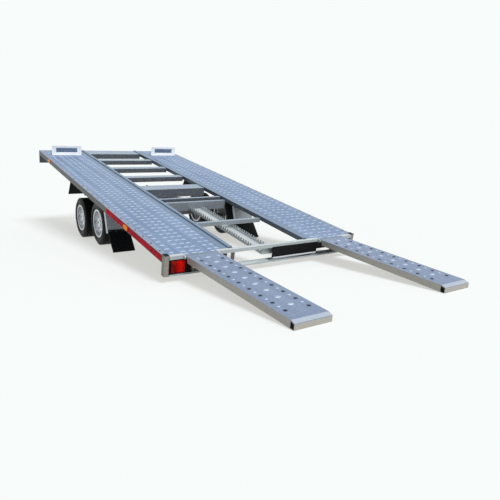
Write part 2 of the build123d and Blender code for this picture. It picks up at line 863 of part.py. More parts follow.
# Cross tube between the rails, and the rest bar on top of the drawbar
rest_half = chassis_side + chassis_width / 2
rest_bar_place = bed_length - rest_bar_setback
rest_top = chassis_top + rest_bar_size
chassis_tubes = (
    (chassis_inner, chassis_front_end - chassis_width / 2, chassis_width, chassis_bottom, chassis_top),
    (rest_half, rest_bar_place, rest_bar_size, chassis_top, rest_top),
)
with BuildPart() as cross_tubes:
    for half, place, length, bottom, top in chassis_tubes:
        with BuildSketch(ground.side(half, place, (bottom + top) / 2)):
            Rectangle(length, top - bottom)
            Rectangle(length - 2 * chassis_wall, top - bottom - 2 * chassis_wall, mode=Mode.SUBTRACT)
        extrude(amount=2 * half)
cross_tubes.part.label = "cross_tubes"
export_step(cross_tubes.part, "parts/cross_tubes.step")

# Rubber buffers just below the level bed's inner rails
with BuildPart() as rest_buffers:
    for _, side in SIDES:
        buffer_side = side * (track_inner - inner_rail_foot / 2)
        with BuildSketch(ground.plan(rest_top, rest_bar_place, buffer_side)):
            Circle(buffer_radius)
        extrude(amount=deck_level - inner_rail_depth - rest_top - moving_gap, taper=buffer_taper)
rest_buffers.part.label = "rest_buffers"
export_step(rest_buffers.part, "parts/rest_buffers.step")

# Axle beams with brackets up to the chassis rails, and the trailing arms with their spindles
drum_inner = wheel_side - drum_inboard
arm_outer = drum_inner - backplate_gap - backplate_sheet
for place_name, place in wheel_places:
    beam_place = place + arm_reach
    beam_height = wheel_radius + arm_drop
    beam_top = beam_height + axle_beam_size / 2
    with BuildPart() as axle_beam:
        with BuildSketch(ground.side(axle_beam_half, beam_place, beam_height)):
            RectangleRounded(axle_beam_size, axle_beam_size, axle_beam_corner)
            RectangleRounded(
                axle_beam_size - 2 * axle_beam_wall,
                axle_beam_size - 2 * axle_beam_wall,
                axle_beam_corner - axle_beam_wall,
                mode=Mode.SUBTRACT,
            )
        extrude(amount=2 * axle_beam_half)
        for _, side in SIDES:
            with BuildSketch(ground.side(side * chassis_side + chassis_width / 2)):
                corner_box(
                    (beam_place - axle_bracket_length / 2, beam_top - axle_beam_wall),
                    (beam_place + axle_bracket_length / 2, chassis_bottom),
                )
            extrude(amount=chassis_width)
    axle_beam.part.label = f"axle_beam_{place_name}"
    export_step(axle_beam.part, f"parts/axle_beam_{place_name}.step")

    with BuildPart() as arms:
        for _, side in SIDES:
            start = side * (axle_beam_half + seat_gap)
            with BuildSketch(ground.side(start)):
                with Locations((beam_place, beam_height)):
                    Circle(arm_boss_radius)
                with Locations((place, wheel_radius)):
                    Circle(arm_foot_radius)
                make_hull()
            extrude(amount=-side * arm_thickness)
            with BuildSketch(ground.side(start, place, wheel_radius)):
                Circle(spindle_radius + backplate_sheet)
            extrude(amount=-side * (arm_outer - abs(start)))
            with BuildSketch(ground.side(side * arm_outer, place, wheel_radius)):
                Circle(drum_radius)
            extrude(amount=-side * backplate_sheet)
            with BuildSketch(ground.side(start, place, wheel_radius)):
                Circle(spindle_radius)
            extrude(amount=-side * (wheel_side + spindle_end - abs(start)))
    arms.part.label = f"swing_arms_{place_name}"
    export_step(arms.part, f"parts/swing_arms_{place_name}.step")

# Wheels: tyre, and pressed rim with its brake drum, drawn outwards from the wheel's middle plane
disc_face = rim_disc_offset
for place_name, place in wheel_places:
    for name, side in SIDES:
        middle = ground.point(place, side * wheel_side, wheel_radius)
        wheel_plane = Plane(origin=middle, x_dir=(0, side, 0), z_dir=(side, 0, 0))
        wheel_axis = Axis(middle, (0, side, 0))
        with BuildPart() as tyre:
            with BuildSketch(wheel_plane):
                shoulder = wheel_radius - tread_shoulder
                lip = rim_flange_radius + side_play
                wall_middle = (lip + shoulder) / 2
                edge = tyre_width / 2
                inner = rim_seat_radius + seat_gap
                outline(
                    (tread_half_width, wheel_radius),
                    (-tread_half_width, wheel_radius),
                    (tread_shoulder / 2 - edge, shoulder),
                    (-edge, wall_middle + sidewall_flat / 2),
                    (-edge, wall_middle - sidewall_flat / 2),
                    (-bead_half_width, lip),
                    (-bead_half_width, inner),
                    (bead_half_width, inner),
                    (bead_half_width, lip),
                    (edge, wall_middle - sidewall_flat / 2),
                    (edge, wall_middle + sidewall_flat / 2),
                    (edge - tread_shoulder / 2, shoulder),
                )
            revolve(axis=wheel_axis)
        tyre.part.label = f"tyre_{place_name}_{name}"
        export_step(tyre.part, f"parts/tyre_{place_name}_{name}.step")

        with BuildPart() as rim:
            with BuildSketch(wheel_plane):
                well = rim_well_half_width
                seat = rim_seat_radius
                outline(
                    (-rim_half_width, rim_flange_radius),
                    (-rim_half_width + rim_wall, rim_flange_radius),
                    (-bead_half_width - seat_gap, seat),
                    (-well - rim_wall, seat),
                    (-well, rim_well_radius),
                    (well, rim_well_radius),
                    (well + rim_wall, seat),
                    (bead_half_width + seat_gap, seat),
                    (rim_half_width - rim_wall, rim_flange_radius),
                    (rim_half_width, rim_flange_radius),
                    (rim_half_width, seat - rim_wall),
                    (well + 2 * rim_wall, seat - rim_wall),
                    (well + rim_wall, rim_well_radius - rim_wall),
                    (-well - rim_wall, rim_well_radius - rim_wall),
                    (-well - 2 * rim_wall, seat - rim_wall),
                    (-rim_half_width, seat - rim_wall),
                )
                outline(
                    (disc_face, rim_bore_radius),
                    (disc_face, rim_disc_hub),
                    (disc_face + 4 * rim_wall, rim_hole_circle),
                    (well - rim_wall, rim_well_radius - rim_wall / 2),
                    (well, rim_well_radius - rim_wall / 2),
                    (disc_face + 5 * rim_wall, rim_hole_circle),
                    (disc_face + rim_wall, rim_disc_hub),
                    (disc_face + rim_wall, rim_bore_radius),
                )
            revolve(axis=wheel_axis)
            hole_plane = Plane(origin=middle, x_dir=(1, 0, 0), z_dir=(0, side, 0))
            with BuildSketch(hole_plane):
                with PolarLocations(rim_hole_circle, rim_hole_count):
                    Circle(rim_hole_radius)
            extrude(amount=tyre_width / 2, mode=Mode.SUBTRACT)
            bore = spindle_radius + pin_clearance
            with BuildSketch(wheel_plane):
                outline(
                    (-drum_inboard, drum_radius),
                    (disc_face - 2 * rim_wall, drum_radius),
                    (disc_face - seat_gap, rim_disc_hub),
                    (disc_face - seat_gap, hub_cap_radius),
                    (hub_cap_reach - rim_wall, hub_cap_radius),
                    (hub_cap_reach, hub_cap_radius - rim_wall),
                    (hub_cap_reach, 0),
                    (spindle_end + 2 * rim_wall, 0),
                    (spindle_end + 2 * rim_wall, bore),
                    (-drum_inboard, bore),
                )
            revolve(axis=wheel_axis)
        rim.part.label = f"rim_{place_name}_{name}"
        export_step(rim.part, f"parts/rim_{place_name}_{name}.step")

# Overrun unit with its bellows and shaft, on the front of the drawbar
overrun_middle = ball_height
with BuildPart() as overrun_housing:
    with BuildSketch(ground.section(overrun_rear, 0, overrun_middle)):
        RectangleRounded(overrun_width, overrun_height, overrun_corner)
    extrude(amount=overrun_front - overrun_rear)
    fillet(overrun_housing.faces().sort_by(Axis.X)[-1].edges(), radius=overrun_edge)
overrun_housing.part.label = "overrun_housing"
export_step(overrun_housing.part, "parts/overrun_housing.step")

with BuildPart() as bellows:
    bellows_rear = overrun_front + seat_gap
    fold = (bellows_front - bellows_rear) / bellows_folds
    folds = [(0, bellows_root)]
    for index in range(bellows_folds):
        folds.append(((index + 0.5) * fold, bellows_radius))
        folds.append(((index + 1) * fold, bellows_root))
    with BuildSketch(ground.side(0, bellows_rear, overrun_middle)):
        outline(*folds, (bellows_folds * fold, shaft_radius + seat_gap), (0, shaft_radius + seat_gap))
    revolve(axis=Axis(ground.point(bellows_rear, 0, overrun_middle), (1, 0, 0)))
bellows.part.label = "bellows"
export_step(bellows.part, "parts/bellows.step")

# Coupling head: the shaft, a tapering neck and the cup that closes round the ball
with BuildPart() as ball_coupling:
    with BuildSketch(ground.section(overrun_front + seat_gap, 0, overrun_middle)):
        Circle(shaft_radius)
    extrude(amount=ball_place - overrun_front - seat_gap)
    with BuildSketch(ground.plan(ball_height - head_below, ball_place)):
        Circle(head_radius)
        outline(
            (0, head_radius),
            (bellows_front - ball_place + 2 * side_play, shaft_radius + rim_wall),
            (bellows_front - ball_place + 2 * side_play, -shaft_radius - rim_wall),
            (0, -head_radius),
        )
    extrude(amount=head_height)
    with BuildSketch(ground.side(0, ball_place, ball_height)):
        Circle(ball_radius + pin_clearance)
        corner_box(
            (0, -ball_radius - pin_clearance),
            (-2 * head_radius, 2 * head_radius),
            mode=Mode.SUBTRACT,
        )
    revolve(axis=Axis(ground.point(ball_place, 0, ball_height), (0, 0, 1)), mode=Mode.SUBTRACT)
    with BuildSketch(ground.plan(ball_height - head_height, ball_place)):
        Circle(ball_radius + pin_clearance)
    extrude(amount=head_height, mode=Mode.SUBTRACT)
ball_coupling.part.label = "ball_coupling"
export_step(ball_coupling.part, "parts/ball_coupling.step")

# Hand brake lever on the right of the overrun unit
with BuildPart() as brake_lever:
    lever_side = -overrun_width / 2 - seat_gap
    turn = math.radians(brake_lever_slope)
    lever_w = overrun_middle + brake_rise
    with BuildSketch(ground.side(lever_side, brake_pivot_place, lever_w)):
        Circle(brake_boss_radius)
    extrude(amount=2 * brake_lever_radius)
    lever_start = ground.point(brake_pivot_place, lever_side - brake_lever_radius, lever_w)
    lever_way = (math.cos(turn), 0, math.sin(turn))
    with BuildSketch(Plane(origin=lever_start, x_dir=(0, 1, 0), z_dir=lever_way)):
        Circle(brake_lever_radius)
    extrude(amount=brake_lever_length)
brake_lever.part.label = "brake_lever"
export_step(brake_lever.part, "parts/brake_lever.step")

# Jockey wheel: a sleeve with its clamp and crank, the sliding tube, the fork and the wheel
jockey_foot = ground.point(jockey_place, jockey_side, 0)
sleeve_bore = jockey_tube_radius + pin_clearance
sleeve_radius = sleeve_bore + jockey_tube_wall
with BuildPart() as jockey_sleeve:
    with BuildSketch(ground.plan(jockey_sleeve_bottom, jockey_place, jockey_side)):
        Circle(sleeve_radius)
    extrude(amount=jockey_sleeve_top - jockey_sleeve_bottom)
    with BuildSketch(ground.plan(jockey_sleeve_bottom, jockey_place, jockey_side)):
        Circle(sleeve_bore)
    extrude(amount=jockey_sleeve_top - jockey_sleeve_bottom - jockey_tube_wall, mode=Mode.SUBTRACT)
    with BuildSketch(ground.plan(jockey_sleeve_top, jockey_place, jockey_side)):
        Circle(crank_radius)
    extrude(amount=crank_height)
    crank_top = jockey_sleeve_top + crank_height
    with BuildSketch(ground.section(jockey_place, jockey_side, crank_top)):
        Circle(crank_radius)
    extrude(amount=crank_reach)
    with BuildSketch(ground.plan(crank_top, jockey_place + crank_reach, jockey_side)):
        Circle(crank_grip_radius)
    extrude(amount=crank_grip)
    with BuildSketch(ground.plan(crank_top, jockey_place, jockey_side)):
        Circle(crank_boss_radius)
    extrude(amount=crank_radius, both=True)
    with BuildSketch(ground.plan(overrun_middle + side_play, jockey_place, jockey_side)):
        Circle(sleeve_radius + 2 * jockey_tube_wall)
        corner_box((-sleeve_radius, overrun_width / 2 - jockey_side), (sleeve_radius, 0))
        Circle(sleeve_radius, mode=Mode.SUBTRACT)
    extrude(amount=overrun_height / 2 - 2 * side_play)
jockey_sleeve.part.label = "jockey_sleeve"
export_step(jockey_sleeve.part, "parts/jockey_sleeve.step")

jockey_tube_end = jockey_sleeve_top - jockey_tube_wall - jockey_stroke - moving_gap
with BuildPart() as jockey_tube:
    with BuildSketch(ground.plan(jockey_fork_top + seat_gap, jockey_place, jockey_side)):
        Circle(jockey_tube_radius)
        Circle(jockey_tube_radius - jockey_tube_wall, mode=Mode.SUBTRACT)
    extrude(amount=jockey_tube_end - jockey_fork_top - seat_gap)
jockey_tube.part.label = "jockey_tube"
export_step(jockey_tube.part, "parts/jockey_tube.step")

fork_half = jockey_wheel_width / 2 + moving_gap
with BuildPart() as jockey_fork:
    axle_u = jockey_place - jockey_trail
    for way in (1, -1):
        face = jockey_side + (fork_half + jockey_fork_sheet if way > 0 else -fork_half)
        with BuildSketch(ground.side(face)):
            outline(
                (jockey_place + jockey_tube_radius, jockey_fork_top),
                (jockey_place - jockey_fork_back, jockey_fork_top),
                (axle_u - 2 * jockey_axle_radius, jockey_wheel_radius),
                (axle_u + 2 * jockey_axle_radius, jockey_wheel_radius),
                (jockey_place + jockey_tube_radius, jockey_fork_top - jockey_fork_depth),
            )
            with Locations((axle_u, jockey_wheel_radius)):
                Circle(2 * jockey_axle_radius)
        extrude(amount=jockey_fork_sheet)
    with BuildSketch(ground.side(jockey_side + fork_half + jockey_fork_sheet)):
        corner_box(
            (jockey_place - jockey_fork_back, jockey_fork_top - jockey_fork_sheet),
            (jockey_place + jockey_tube_radius, jockey_fork_top),
        )
    extrude(amount=2 * (fork_half + jockey_fork_sheet))
    fork_face = jockey_side + fork_half + jockey_fork_sheet
    with BuildSketch(ground.side(fork_face, axle_u, jockey_wheel_radius)):
        Circle(jockey_axle_radius)
    extrude(amount=2 * (fork_half + jockey_fork_sheet))
jockey_fork.part.label = "jockey_fork"
export_step(jockey_fork.part, "parts/jockey_fork.step")

with BuildPart() as jockey_wheel:
    wheel_face = jockey_side + jockey_wheel_width / 2
    with BuildSketch(ground.side(wheel_face, axle_u, jockey_wheel_radius)):
        Circle(jockey_wheel_radius)
        Circle(jockey_axle_radius + pin_clearance, mode=Mode.SUBTRACT)
    extrude(amount=jockey_wheel_width)
jockey_wheel.part.label = "jockey_wheel"
export_step(jockey_wheel.part, "parts/jockey_wheel.step")

# Tilt cylinder, drawn along its own line from the foot pin to the head pin
head_u = rear_wheel_place + cylinder_head[0]
head_w = -cylinder_head[1]
foot_place = rear_wheel_place + cylinder_foot[0]
foot_height = cylinder_foot[1]
head = bed.point(head_u, cylinder_side, head_w)
foot = ground.point(foot_place, cylinder_side, foot_height)
reach = head - foot
cylinder = Axes(foot.X, foot.Z, math.degrees(math.atan2(reach.Z, reach.X)))
eye_face = cylinder_side + cylinder_eye_thickness / 2
cylinder_bore = cylinder_radius - cylinder_wall
barrel_end = cylinder_start + cylinder_length
with BuildPart() as tilt_barrel:
    with BuildSketch(cylinder.section(cylinder_start, cylinder_side)):
        Circle(cylinder_radius)
    extrude(amount=cylinder_length)
    with BuildSketch(cylinder.section(cylinder_start + cylinder_wall, cylinder_side)):
        Circle(cylinder_bore)
    extrude(amount=cylinder_length - cylinder_wall - gland_length, mode=Mode.SUBTRACT)
    with BuildSketch(cylinder.section(barrel_end - gland_length, cylinder_side)):
        Circle(rod_radius + pin_clearance)
    extrude(amount=gland_length, mode=Mode.SUBTRACT)
    with BuildSketch(cylinder.side(eye_face)):
        Circle(cylinder_eye_radius)
        corner_box((0, -cylinder_eye_radius / 2), (cylinder_start, cylinder_eye_radius / 2))
        Circle(cylinder_pin_radius + pin_clearance, mode=Mode.SUBTRACT)
    extrude(amount=cylinder_eye_thickness)
tilt_barrel.part.label = "tilt_barrel"
export_step(tilt_barrel.part, "parts/tilt_barrel.step")

with BuildPart() as tilt_rod:
    with BuildSketch(cylinder.section(piston_place, cylinder_side)):
        Circle(cylinder_bore - pin_clearance)
    extrude(amount=piston_length)
    with BuildSketch(cylinder.section(piston_place, cylinder_side)):
        Circle(rod_radius)
    extrude(amount=reach.length - cylinder_eye_radius / 2 - piston_place - rod_eye_play)
    with BuildSketch(cylinder.side(eye_face, reach.length)):
        Circle(cylinder_eye_radius)
    extrude(amount=cylinder_eye_thickness)
    with BuildSketch(cylinder.side(eye_face, reach.length)):
        Circle(cylinder_pin_radius + rod_eye_play)
    extrude(amount=cylinder_eye_thickness, mode=Mode.SUBTRACT)
tilt_rod.part.label = "tilt_rod"
export_step(tilt_rod.part, "parts/tilt_rod.step")

# Lugs under the left inner rail's lip and band for the rod's eye, with the head pin
lug_outer = cylinder_eye_thickness / 2 + side_play + cylinder_lug_sheet
with BuildPart() as cylinder_lugs:
    for face, top in ((lug_outer, -frame_wall), (cylinder_lug_sheet - lug_outer, -inner_lip_depth)):
        with BuildSketch(bed.side(cylinder_side + face, head_u, head_w)):
            Circle(cylinder_eye_radius)
            corner_box((-cylinder_eye_radius, 0), (cylinder_eye_radius, top - head_w))
        extrude(amount=cylinder_lug_sheet)
    with BuildSketch(bed.side(cylinder_side + lug_outer, head_u, head_w)):
        Circle(cylinder_pin_radius)
    extrude(amount=2 * lug_outer)
cylinder_lugs.part.label = "cylinder_lugs"
export_step(cylinder_lugs.part, "parts/cylinder_lugs.step")

# Bracket on the left chassis rail for the cylinder's foot pin
bracket_reach = chassis_inner - cylinder_side
bracket_bottom = foot_height - cylinder_eye_radius - moving_gap - cylinder_bracket_sheet
bracket_half = cylinder_eye_radius + moving_gap
with BuildPart() as cylinder_bracket:
    with BuildSketch(ground.side(chassis_inner)):
        corner_box(
            (foot_place - bracket_half, bracket_bottom),
            (foot_place + bracket_half, chassis_top - chassis_wall),
        )
    extrude(amount=cylinder_bracket_sheet)
    with BuildSketch(ground.side(chassis_inner)):
        corner_box(
            (foot_place - bracket_half, bracket_bottom),
            (foot_place + bracket_half, bracket_bottom + cylinder_bracket_sheet),
        )
    extrude(amount=2 * bracket_reach)
    with BuildSketch(ground.side(cylinder_side - bracket_reach + cylinder_bracket_sheet)):
        corner_box(
            (foot_place - bracket_half, bracket_bottom),
            (foot_place + bracket_half, foot_height + bracket_half),
        )
    extrude(amount=cylinder_bracket_sheet)
    with BuildSketch(ground.side(chassis_inner, foot_place, foot_height)):
        Circle(cylinder_pin_radius)
    extrude(amount=2 * bracket_reach)
cylinder_bracket.part.label = "cylinder_bracket"
export_step(cylinder_bracket.part, "parts/cylinder_bracket.step")
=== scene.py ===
import json
import logging
import math
from contextlib import contextmanager
from dataclasses import dataclass
from enum import Enum
from typing import Callable, Iterator, Sequence

import bmesh
import bpy
from mathutils import Matrix, Vector


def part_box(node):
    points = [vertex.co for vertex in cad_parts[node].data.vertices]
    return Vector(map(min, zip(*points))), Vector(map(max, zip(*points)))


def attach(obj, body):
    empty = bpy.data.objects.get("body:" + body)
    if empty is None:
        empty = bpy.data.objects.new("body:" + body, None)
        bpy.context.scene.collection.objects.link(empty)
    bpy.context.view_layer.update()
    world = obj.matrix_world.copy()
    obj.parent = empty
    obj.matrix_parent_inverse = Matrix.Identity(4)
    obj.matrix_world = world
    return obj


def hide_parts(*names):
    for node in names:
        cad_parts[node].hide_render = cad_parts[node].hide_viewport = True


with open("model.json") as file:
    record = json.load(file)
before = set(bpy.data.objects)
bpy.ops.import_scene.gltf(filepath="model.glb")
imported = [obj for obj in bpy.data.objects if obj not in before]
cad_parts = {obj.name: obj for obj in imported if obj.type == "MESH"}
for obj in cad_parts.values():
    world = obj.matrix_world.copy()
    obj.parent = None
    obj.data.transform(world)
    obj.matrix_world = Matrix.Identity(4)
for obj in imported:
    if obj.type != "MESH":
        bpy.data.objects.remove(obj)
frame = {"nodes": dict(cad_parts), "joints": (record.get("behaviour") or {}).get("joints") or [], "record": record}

LOG = logging.getLogger("trailer")
SIDES = {"left": 1, "right": -1}
ENDS = ("front", "rear")
ORIGIN = Vector((0.0, 0.0, 0.0))
REAR, FRONT, UP = Vector((-1.0, 0.0, 0.0)), Vector((1.0, 0.0, 0.0)), Vector((0.0, 0.0, 1.0))
FACING = 0.9  # cosine above which a face counts as looking one way
SUNK = 0.0002  # how far the foot of a fitting lies below the sheet

Piece = bpy.types.Object
Socket = bpy.types.NodeSocket
Tint = tuple[float, float, float, float]


# Bench: edit-mode tools


@contextmanager
def editing(piece: Piece) -> Iterator[None]:
    """Opens one piece in edit mode with nothing selected, and closes it again.

    Args:
        piece: The mesh object to work on.
    """
    deselect()
    piece.select_set(True)
    bpy.context.view_layer.objects.active = piece
    bpy.ops.object.mode_set(mode="EDIT")
    bpy.ops.mesh.select_all(action="DESELECT")
    yield
    bpy.ops.object.mode_set(mode="OBJECT")
    deselect()


def deselect() -> None:
    """Deselects every object, as before each new primitive."""
    bpy.ops.object.select_all(action="DESELECT")


def pick_faces(piece: Piece, wanted: Callable[[Vector, Vector], bool]) -> None:
    """Selects the faces that pass a test, in edit mode.

    Args:
        piece: The piece in edit mode.
        wanted: Test on a face's centre and normal.
    """
    bpy.ops.mesh.select_mode(type="FACE")
    mesh = bmesh.from_edit_mesh(piece.data)
    mesh.normal_update()
    for face in mesh.faces:
        face.select_set(wanted(face.calc_center_median(), face.normal))
    bmesh.update_edit_mesh(piece.data)


def pick_edges(piece: Piece, wanted: Callable[[Vector, Vector], bool]) -> None:
    """Selects the edges whose two ends pass a test, in edit mode.

    Args:
        piece: The piece in edit mode.
        wanted: Test on the places of an edge's two ends.
    """
    bpy.ops.mesh.select_mode(type="EDGE")
    mesh = bmesh.from_edit_mesh(piece.data)
    for edge in mesh.edges:
        edge.select_set(wanted(edge.verts[0].co, edge.verts[1].co))
    bmesh.update_edit_mesh(piece.data)


def pick_ring(piece: Piece, radius: float, height: float) -> None:
    """Selects a ring of edges about Z, in edit mode.

    Args:
        piece: The piece in edit mode.
        radius: The ring's radius.
        height: The ring's height.
    """
    near = 1e-5

    def on_ring(place: Vector) -> bool:
        """Whether a vertex belongs to the ring."""
        return abs(place.z - height) < near and abs(math.hypot(place.x, place.y) - radius) < near

    pick_edges(piece, lambda a, b: on_ring(a) and on_ring(b))


def draw_out(shift: Sequence[float], scale: Sequence[float] = (1, 1, 1), about: Vector = ORIGIN) -> None:
    """Extrudes the selection, moves it and scales it about a point.

    Args:
        shift: The way that the new faces or edges move.
        scale: Their scale along X, Y and Z.
        about: The point they are scaled about.
    """
    bpy.ops.mesh.extrude_region_move(TRANSFORM_OT_translate={"value": tuple(shift)})
    if tuple(scale) != (1, 1, 1):
        bpy.ops.transform.resize(value=tuple(scale), center_override=tuple(about))


def new_box(name: str, size: Sequence[float], place: Sequence[float] = (0, 0, 0)) -> Piece:
    """Adds a cube primitive at its size and place, ready to be shaped.

    Args:
        name: The piece's name.
        size: Lengths along X, Y and Z.
        place: Its middle.

    Returns:
        The new object, with its place and size in its mesh.
    """
    deselect()
    bpy.ops.mesh.primitive_cube_add(size=1, location=tuple(place), scale=tuple(size))
    piece = bpy.context.object
    bpy.ops.object.transform_apply(location=True, rotation=True, scale=True)
    piece.name = name
    return piece


def new_plate(name: str, size: Sequence[float], place: Sequence[float], corner: float, steps: int = 3) -> Piece:
    """Adds a flat plate with rounded corners.

    Args:
        name: The piece's name.
        size: Lengths along X, Y and Z, of which the shortest is its thickness.
        place: Its middle.
        corner: Radius of its corners.
        steps: Facets of a corner.

    Returns:
        The new object.
    """
    thin = min(range(3), key=lambda axis: size[axis])
    plate = new_box(name, size, place)
    with editing(plate):
        pick_edges(plate, lambda a, b: abs(a[thin] - b[thin]) > size[thin] * FACING)
        bpy.ops.mesh.bevel(offset=corner, segments=steps)
    return plate


def press(piece: Piece, way: Vector, rim: float, depth: float) -> None:
    """Presses a field into the faces that look one way.

    Args:
        piece: The piece, out of edit mode.
        way: The way that the faces look.
        rim: Width of the rim that stays.
        depth: How deep the field lies.
    """
    with editing(piece):
        pick_faces(piece, lambda centre, normal: normal.dot(way) > FACING)
        bpy.ops.mesh.inset(thickness=rim)
        draw_out(way * -depth)


def new_turned(name: str, profile: Sequence[tuple[float, float]], steps: int, ring: bool = False) -> Piece:
    """Turns a profile about Z by drawing a circle out ring by ring.

    Args:
        name: The piece's name.
        profile: Radius and height of each ring, from the first to the last. A radius of 0 closes the end.
        steps: Vertices in a ring.
        ring: True where the last ring joins the first, as on a tyre.

    Returns:
        The new object, closed and with its faces pointing out.
    """
    deselect()
    (radius, height), *rest = profile
    bpy.ops.mesh.primitive_circle_add(vertices=steps, radius=radius, location=(0, 0, height))
    piece = bpy.context.object
    bpy.ops.object.transform_apply(location=True, rotation=True, scale=True)
    piece.name = name
    first = (radius, height)
    with editing(piece):
        bpy.ops.mesh.select_mode(type="EDGE")
        bpy.ops.mesh.select_all(action="SELECT")
        for next_radius, next_height in rest:
            if next_radius == 0:
                draw_out((0, 0, next_height - height))
                bpy.ops.mesh.merge(type="CENTER")
            else:
                share = next_radius / radius
                draw_out((0, 0, next_height - height), (share, share, 1))
            radius, height = next_radius, next_height
        if ring:
            bpy.ops.mesh.select_all(action="DESELECT")
            bpy.ops.mesh.select_non_manifold()
            bpy.ops.mesh.bridge_edge_loops()
        else:
            for end_radius, end_height in (first, (radius, height)):
                if end_radius:
                    pick_ring(piece, end_radius, end_height)
                    bpy.ops.mesh.edge_face_add()
        bpy.ops.mesh.select_all(action="SELECT")
        bpy.ops.mesh.normals_make_consistent(inside=False)
    return piece


def add_modifier(piece: Piece, kind: str, **settings: object) -> None:
    """Adds a modifier to a piece and applies it.

    Args:
        piece: The mesh object.
        kind: Blender's name of the modifier's type.
        settings: Values of the modifier's properties.
    """
    deselect()
    piece.select_set(True)
    bpy.context.view_layer.objects.active = piece
    modifier = piece.modifiers.new(kind.title(), kind)
    for name, value in settings.items():
        setattr(modifier, name, value)
    bpy.ops.object.modifier_apply(modifier=modifier.name)


def round_edges(piece: Piece, width: float, segments: int = 2, angle: float = 30) -> None:
    """Bevels the edges that are sharper than an angle in degrees."""
    limit = math.radians(angle)
    add_modifier(piece, "BEVEL", width=width, segments=segments, limit_method="ANGLE", angle_limit=limit)


def repeat_along(piece: Piece, count: int, step: Sequence[float]) -> None:
    """Repeats a piece in a straight row, as one mesh.

    Args:
        piece: The piece to repeat.
        count: How many there are in the row.
        step: The way from one to the next.
    """
    add_modifier(
        piece, "ARRAY", count=count, use_relative_offset=False, use_constant_offset=True,
        constant_offset_displace=tuple(step),
    )


def copy_at(piece: Piece, places: Sequence[Matrix]) -> Piece:
    """Copies a model to several places, each with its own mesh, and joins them.

    Args:
        piece: The model, which is used up.
        places: A matrix for each copy.

    Returns:
        The joined object.
    """
    copies = []
    for place in places:
        copy = piece.copy()
        copy.data = piece.data.copy()
        copy.data.transform(place)
        bpy.context.scene.collection.objects.link(copy)
        copies.append(copy)
    name = piece.name
    bpy.data.objects.remove(piece)
    return join(copies, name)


def join(parts: Sequence[Piece], name: str, axes: Matrix = Matrix()) -> Piece:
    """Joins several objects into one.

    Args:
        parts: The objects, of which the first is kept.
        name: The name of the joined object.
        axes: Matrix from the axes they are drawn in to the row frame.

    Returns:
        The joined object.
    """
    deselect()
    for part in parts:
        part.select_set(True)
    bpy.context.view_layer.objects.active = parts[0]
    if len(parts) > 1:
        bpy.ops.object.join()
    parts[0].name = name
    parts[0].data.transform(axes)
    deselect()
    return parts[0]


def facing(place: Vector, way: Vector) -> Matrix:
    """Matrix that puts a model drawn about Z at a place, with its Z turned to a way."""
    return Matrix.Translation(place) @ way.to_track_quat("Z", "Y").to_matrix().to_4x4()


# Pieces whose own finish is a lit or shaded copy of the zinc carry painted light and shade.
def hand_over(
    piece: Piece, body: str, slot: "Slot", worn: "Slot | OwnAndPaintedLightFinish | None" = None, angle: float = 35
) -> None:
    """Shades a finished piece, gives it its finish and lets it ride on its body.

    Args:
        piece: The finished piece, in the row frame.
        body: The body it moves with.
        slot: The record's material slot, whose finish it takes.
        worn: Its own finish, where it differs from the slot's.
        angle: The angle in degrees above which an edge stays sharp.
    """
    deselect()
    piece.select_set(True)
    bpy.context.view_layer.objects.active = piece
    bpy.ops.object.shade_smooth_by_angle(angle=math.radians(angle))
    deselect()
    piece.data.materials.clear()
    piece.data.materials.append((worn or slot).value.material())
    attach(piece, body)
    LOG.info("%s: %d faces on %s", piece.name, len(piece.data.polygons), body)


# Axes of the sub-assemblies, taken from the frame


def joint(name: str) -> dict:
    """The frame's joint of that name."""
    return next(row for row in frame["joints"] if row["name"] == name)


@dataclass(frozen=True)
class Bed:
    """The tilting bed: its own axes run forward, to the left and up from its rear edge."""

    length: float = 4.55
    rear_bar: float = 0.040
    plank_depth: float = 0.046

    @property
    def tilt(self) -> float:
        """Its slope at rest, which is the whole way of its joint."""
        return math.radians(joint("bed_tilt")["range_deg"][1])

    @property
    def axes(self) -> Matrix:
        """Matrix from the bed's own axes to the row frame."""
        low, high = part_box("deck_left")
        slope = self.tilt
        rear = low.x - self.rear_bar * math.cos(slope)
        end = (high.x - self.plank_depth * math.sin(slope) - rear) / math.cos(slope)
        place = Vector((rear, 0, high.z - end * math.sin(slope)))
        return Matrix.Translation(place) @ Matrix.Rotation(-slope, 4, "Y")

    def at(self, along: float, across: float, up: float = 0) -> Matrix:
        """Matrix that lays a part at a place on the bed."""
        return self.axes @ Matrix.Translation((along, across, up))


@dataclass(frozen=True)
class Ramp:
    """A loading ramp's own axes: forward to its hinge, to the left from the middle, and up."""

    side: str
    length: float = 1.425
    hinge_to_top: float = 0.014
    depth: float = 0.057
    width: float = 0.310
    bevel_drop: float = 0.014

    @property
    def hinge(self) -> Vector:
        """Where its hinge lies."""
        return Vector(joint(f"ramp_lift_{self.side}")["pos_m"])

    @property
    def middle(self) -> float:
        """Its distance to the left of the trailer's middle."""
        return self.hinge.y

    @property
    def axes(self) -> Matrix:
        """Matrix from the ramp's own axes to the row frame."""
        hinge = self.hinge
        below = self.depth - self.hinge_to_top
        slope = math.asin(hinge.z / math.hypot(self.length, below)) - math.atan(below / self.length)
        return Matrix.Translation((hinge.x, 0, hinge.z)) @ Matrix.Rotation(-slope, 4, "Y")


# Finishes


def screen(red: int, green: int, blue: int) -> Tint:
    """Makes a screen colour linear.

    Args:
        red: Its red, from 0 to 255.
        green: Its green.
        blue: Its blue.

    Returns:
        The colour that a shader takes.
    """

    def linear(value: int) -> float:
        """One channel, from the screen's curve to light."""
        share = value / 255
        return share / 12.92 if share <= 0.04045 else ((share + 0.055) / 1.055) ** 2.4

    return (linear(red), linear(green), linear(blue), 1.0)


